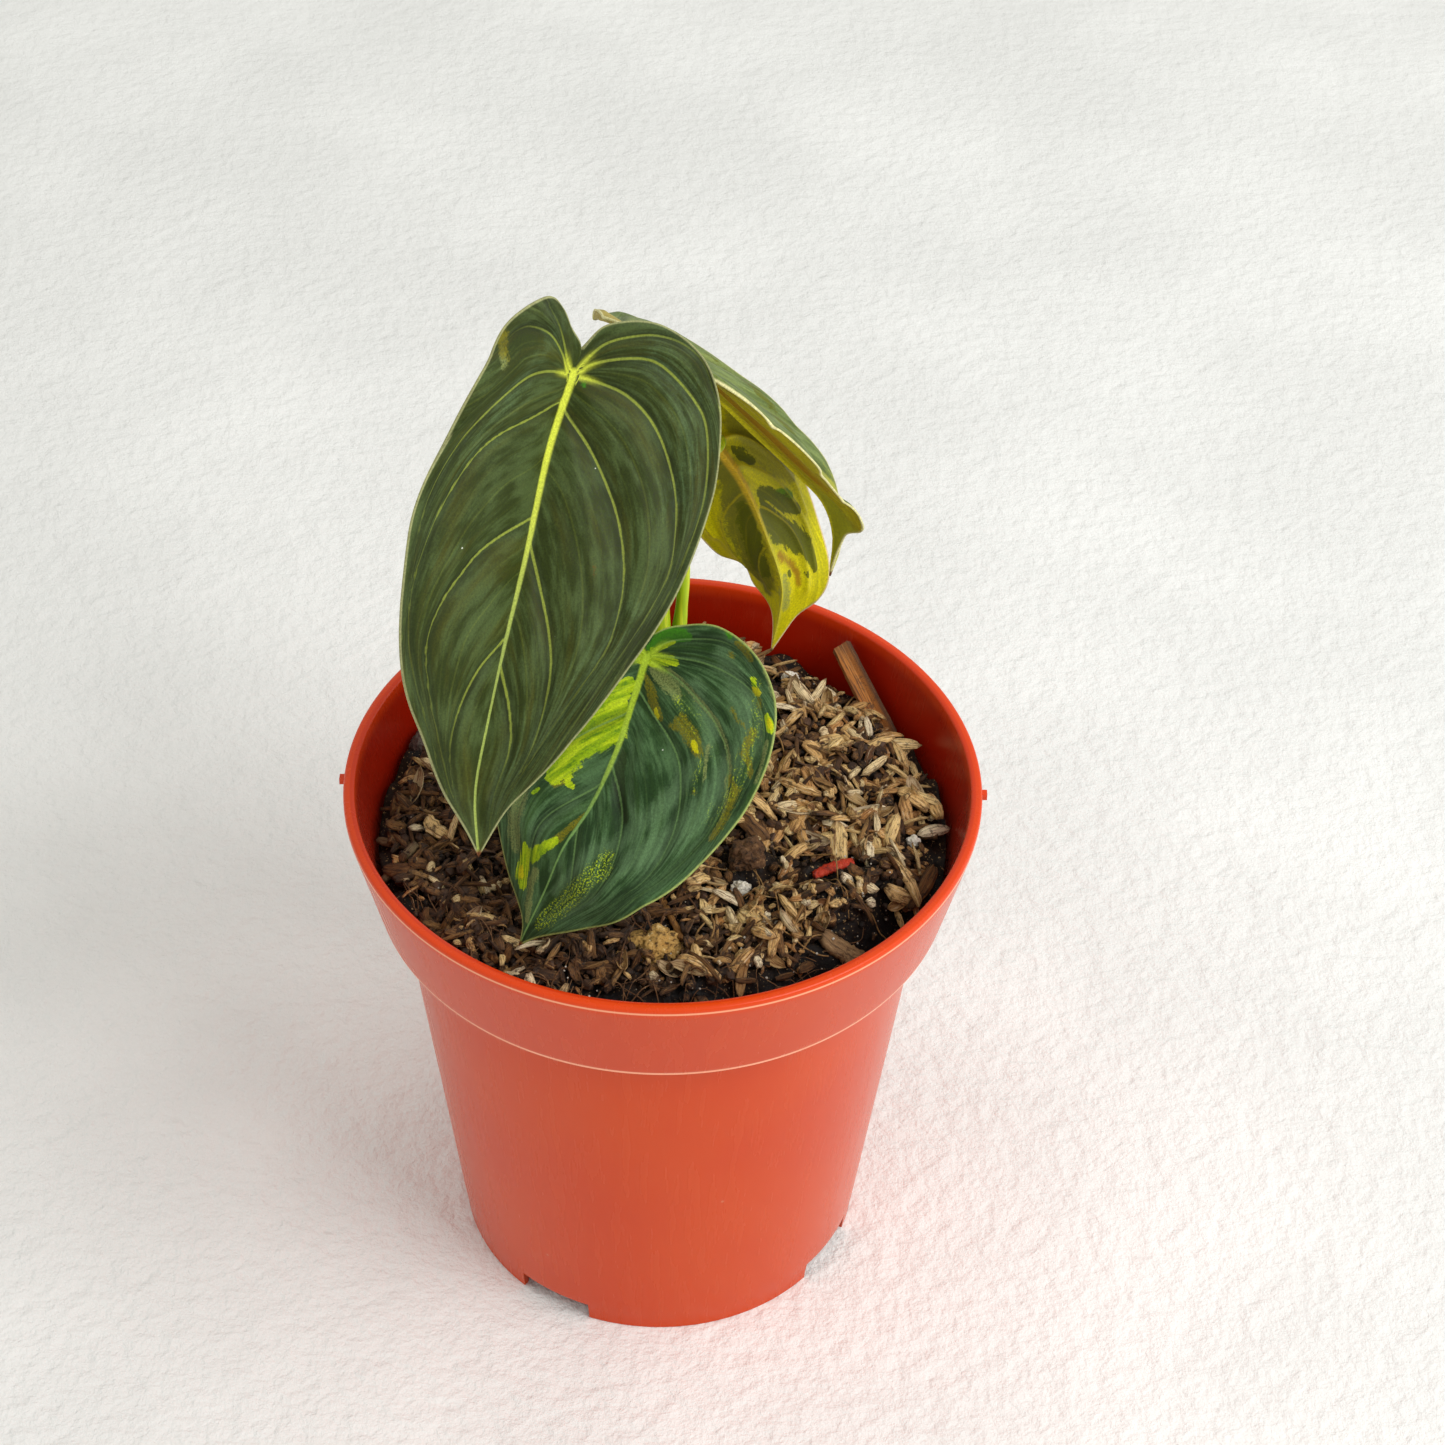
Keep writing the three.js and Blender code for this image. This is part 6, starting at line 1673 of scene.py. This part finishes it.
def make_floor():
    corners = [(x * FLOOR_HALF, y * FLOOR_HALF, 0) for x, y in ((-1, -1), (1, -1), (1, 1), (-1, 1))]
    floor = mesh_object("floor", corners, [(0, 1, 2, 3)], smooth=False)
    floor.data.materials.append(plaster_material())


def light_stage(settings):
    world = bpy.data.worlds.new("soft_white_surround")
    world.use_nodes = True
    background = world.node_tree.nodes["Background"].inputs
    background[0].default_value, background[1].default_value = linear("#fbfaf7"), settings.ambient
    bpy.context.scene.world = world
    for name, (place, side, colour) in LIGHTS.items():
        data = bpy.data.lights.new(name + "_light", "AREA")
        data.energy, data.size, data.color = getattr(settings, name), side, linear(colour)[:3]
        light = linked(name + "_light", data)
        light.location = place
        light.rotation_euler = (Vector(LIT_POINT) - Vector(place)).to_track_quat("-Z", "Y").to_euler()


def make_camera(settings):
    data = bpy.data.cameras.new("camera")
    data.sensor_width, data.lens = SENSOR_WIDTH, settings.lens
    data.clip_start, data.clip_end = CLIP_START, CLIP_END
    camera = linked("camera", data)
    back = Vector((0, -math.cos(settings.elevation), math.sin(settings.elevation)))
    level, steep = Vector((1, 0, 0)), back.cross(Vector((1, 0, 0)))
    c, s = math.cos(settings.roll), math.sin(settings.roll)
    turn = Matrix((c * level + s * steep, c * steep - s * level, back)).transposed().to_4x4()
    camera.matrix_world = Matrix.Translation(Vector(settings.target) + back * settings.distance) @ turn
    bpy.context.scene.camera = camera


# ------------------------------------------------------------------ settings

def number(label, description, default, kind=bpy.props.FloatProperty, **limits):
    return kind(name=label, description=description, default=default, **limits)


def hex_colour(label, description, default):
    return bpy.props.StringProperty(name=label, description=description + ", sRGB hex", default=default)


class POTPLANT_PG_pot(bpy.types.PropertyGroup):
    segments: number("Segments", "Facets round the pot", 192, bpy.props.IntProperty, min=24)
    roughness: number("Roughness", "Gloss of the moulded skin", 0.24, min=0, max=1, subtype="FACTOR")
    base: hex_colour("Colour", "Moulded colour", "#cc3e02")
    warm: hex_colour("Warm shade", "Cloudy variation", "#d24a04")
    pale: hex_colour("Pale streaks", "Flow streaks", "#d8602c")
    # Painted shade: the inner wall is painted deeper red, for a wall that is only seen by bounced light.
    inner: hex_colour("Inner wall", "Colour of the inner wall", "#9a0a02")
    lip: hex_colour("Lip", "Colour of the thin lit lip", "#e8440a")


class POTPLANT_PG_mix(bpy.types.PropertyGroup):
    husk_density: number("Husks", "Rice husks for each square millimetre", 0.07, min=0)
    rings: number("Rings", "Rings of the mix's crumbly top", 110, bpy.props.IntProperty, min=8)
    sectors: number("Sectors", "Sectors of the mix's crumbly top", 300, bpy.props.IntProperty, min=24)


class POTPLANT_PG_leaves(bpy.types.PropertyGroup):
    quality: number("Fineness", "Fineness of the blades' mesh", 1.0, min=0.2, max=1.5)


class POTPLANT_PG_stage(bpy.types.PropertyGroup):
    lens: number("Lens", "Focal length on a 36 mm sensor", 87.2, unit="CAMERA")
    distance: number("Distance", "Camera to target", 0.6484, unit="LENGTH")
    elevation: number("Elevation", "Camera above the horizon", math.radians(41.75), subtype="ANGLE")
    roll: number("Roll", "Camera tilt about its line of sight", math.radians(1.417), subtype="ANGLE")
    target: number("Target", "Point the camera looks at", (0.01085, 0, 0.1275), bpy.props.FloatVectorProperty,
                   unit="LENGTH")
    key: number("Key", "Power of the key light", 7.0, unit="POWER")
    fill: number("Fill", "Power of the fill light", 2.2, unit="POWER")
    ambient: number("Ambient", "Strength of the surrounding light", 0.71)


# ------------------------------------------------------------------ operators

class POTPLANT_OT_pot(bpy.types.Operator):
    """Builds the moulded nursery pot"""

    bl_idname = "potplant.pot"
    bl_label = "Pot"

    def execute(self, context):
        settings = context.scene.potplant_pot
        material = pot_material(settings)
        finish_piece(make_pot(settings.segments, material), "pot", slot="pot_plastic", material=material)
        return {"FINISHED"}


class POTPLANT_OT_mix(bpy.types.Operator):
    """Builds the potting mix and the litter that lies on it"""

    bl_idname = "potplant.mix"
    bl_label = "Potting mix"

    def execute(self, context):
        settings = context.scene.potplant_mix
        bed = make_mix_bed(settings.rings, settings.sectors)
        finish_piece(bed, "potting_mix", slot="bark_mix", material=soil_material())
        for piece in make_litter(settings.husk_density):
            finish_piece(piece, slot="bark_mix")
        for name, (*shape, base, dark, pale) in FIBRES.items():
            finish_piece(mesh_object(name, *make_fibres(*shape)), slot="bark_mix",
                         material=plain_litter_material(name + "_dry", base, dark, pale, 0.75))
        return {"FINISHED"}


class POTPLANT_OT_stem(bpy.types.Operator):
    """Builds the stem and the petioles"""

    bl_idname = "potplant.stem"
    bl_label = "Stem and petioles"

    def execute(self, context):
        finish_piece(mesh_object("stem_and_petioles_skin", *make_stem()), "stem_and_petioles", slot="green_stem",
                     material=stem_material())
        return {"FINISHED"}


class POTPLANT_OT_leaves(bpy.types.Operator):
    """Builds the four leaf blades"""

    bl_idname = "potplant.leaves"
    bl_label = "Leaves"

    def execute(self, context):
        for name, leaf in LEAVES.items():
            blade = make_blade(name, context.scene.potplant_leaves.quality)
            finish_piece(blade, name, slot=leaf["slot"], material=leaf_material(name))
        return {"FINISHED"}


class POTPLANT_OT_bits(bpy.types.Operator):
    """Builds the lumps, grains, twigs and the stick that lie on the mix"""

    bl_idname = "potplant.bits"
    bl_label = "Loose bits"

    def execute(self, context):
        for name, (place, *form) in LUMP_PIECES.items():
            dress_bit(rough_lump(name + "_piece", (*place, node_height(name)), *form), name)
        for name, (start, end, rises, *form) in SLIP_PIECES.items():
            ends = np.array([(*at, float(mix_height(*at)) + rise) for at, rise in zip((start, end), rises)])
            ends[:, 2] += node_height(name) - ends[:, 2].mean()
            dress_bit(slip(name + "_piece", *ends, *form), name)
        dress_bit(split_stick("wood_stick_piece", np.array(STICK_FOOT), np.array(STICK_TOP)), "wood_stick")
        return {"FINISHED"}


class POTPLANT_OT_stage(bpy.types.Operator):
    """Lays the floor and sets the lights and the camera"""

    bl_idname = "potplant.stage"
    bl_label = "Stage"

    def execute(self, context):
        context.scene.view_settings.view_transform = "Standard"
        make_floor()
        light_stage(context.scene.potplant_stage)
        make_camera(context.scene.potplant_stage)
        return {"FINISHED"}


class POTPLANT_PT_panel(bpy.types.Panel):
    """Lists the pieces of the plant"""

    bl_label = "Potted plant"
    bl_idname = "POTPLANT_PT_panel"
    bl_space_type = "VIEW_3D"
    bl_region_type = "UI"
    bl_category = "Plant"

    def draw(self, context):
        for operator in OPERATORS:
            box = self.layout.box()
            group = getattr(context.scene, operator.bl_idname.replace(".", "_"), None)
            for name in group.__annotations__ if group else ():
                box.prop(group, name)
            box.operator(operator.bl_idname)


GROUPS = {"potplant_pot": POTPLANT_PG_pot, "potplant_mix": POTPLANT_PG_mix,
          "potplant_leaves": POTPLANT_PG_leaves, "potplant_stage": POTPLANT_PG_stage}
OPERATORS = (POTPLANT_OT_pot, POTPLANT_OT_mix, POTPLANT_OT_stem, POTPLANT_OT_leaves, POTPLANT_OT_bits,
             POTPLANT_OT_stage)
CLASSES = (*GROUPS.values(), *OPERATORS, POTPLANT_PT_panel)


def register():
    for cls in CLASSES:
        bpy.utils.register_class(cls)
    for name, group in GROUPS.items():
        setattr(bpy.types.Scene, name, bpy.props.PointerProperty(type=group))


def unregister():
    for name in GROUPS:
        delattr(bpy.types.Scene, name)
    for cls in reversed(CLASSES):
        bpy.utils.unregister_class(cls)


def main():
    register()
    bpy.ops.potplant.pot()
    bpy.ops.potplant.mix()
    bpy.ops.potplant.stem()
    bpy.ops.potplant.leaves()
    bpy.ops.potplant.bits()
    bpy.ops.potplant.stage()
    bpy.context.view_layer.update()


if __name__ == "__main__":
    main()
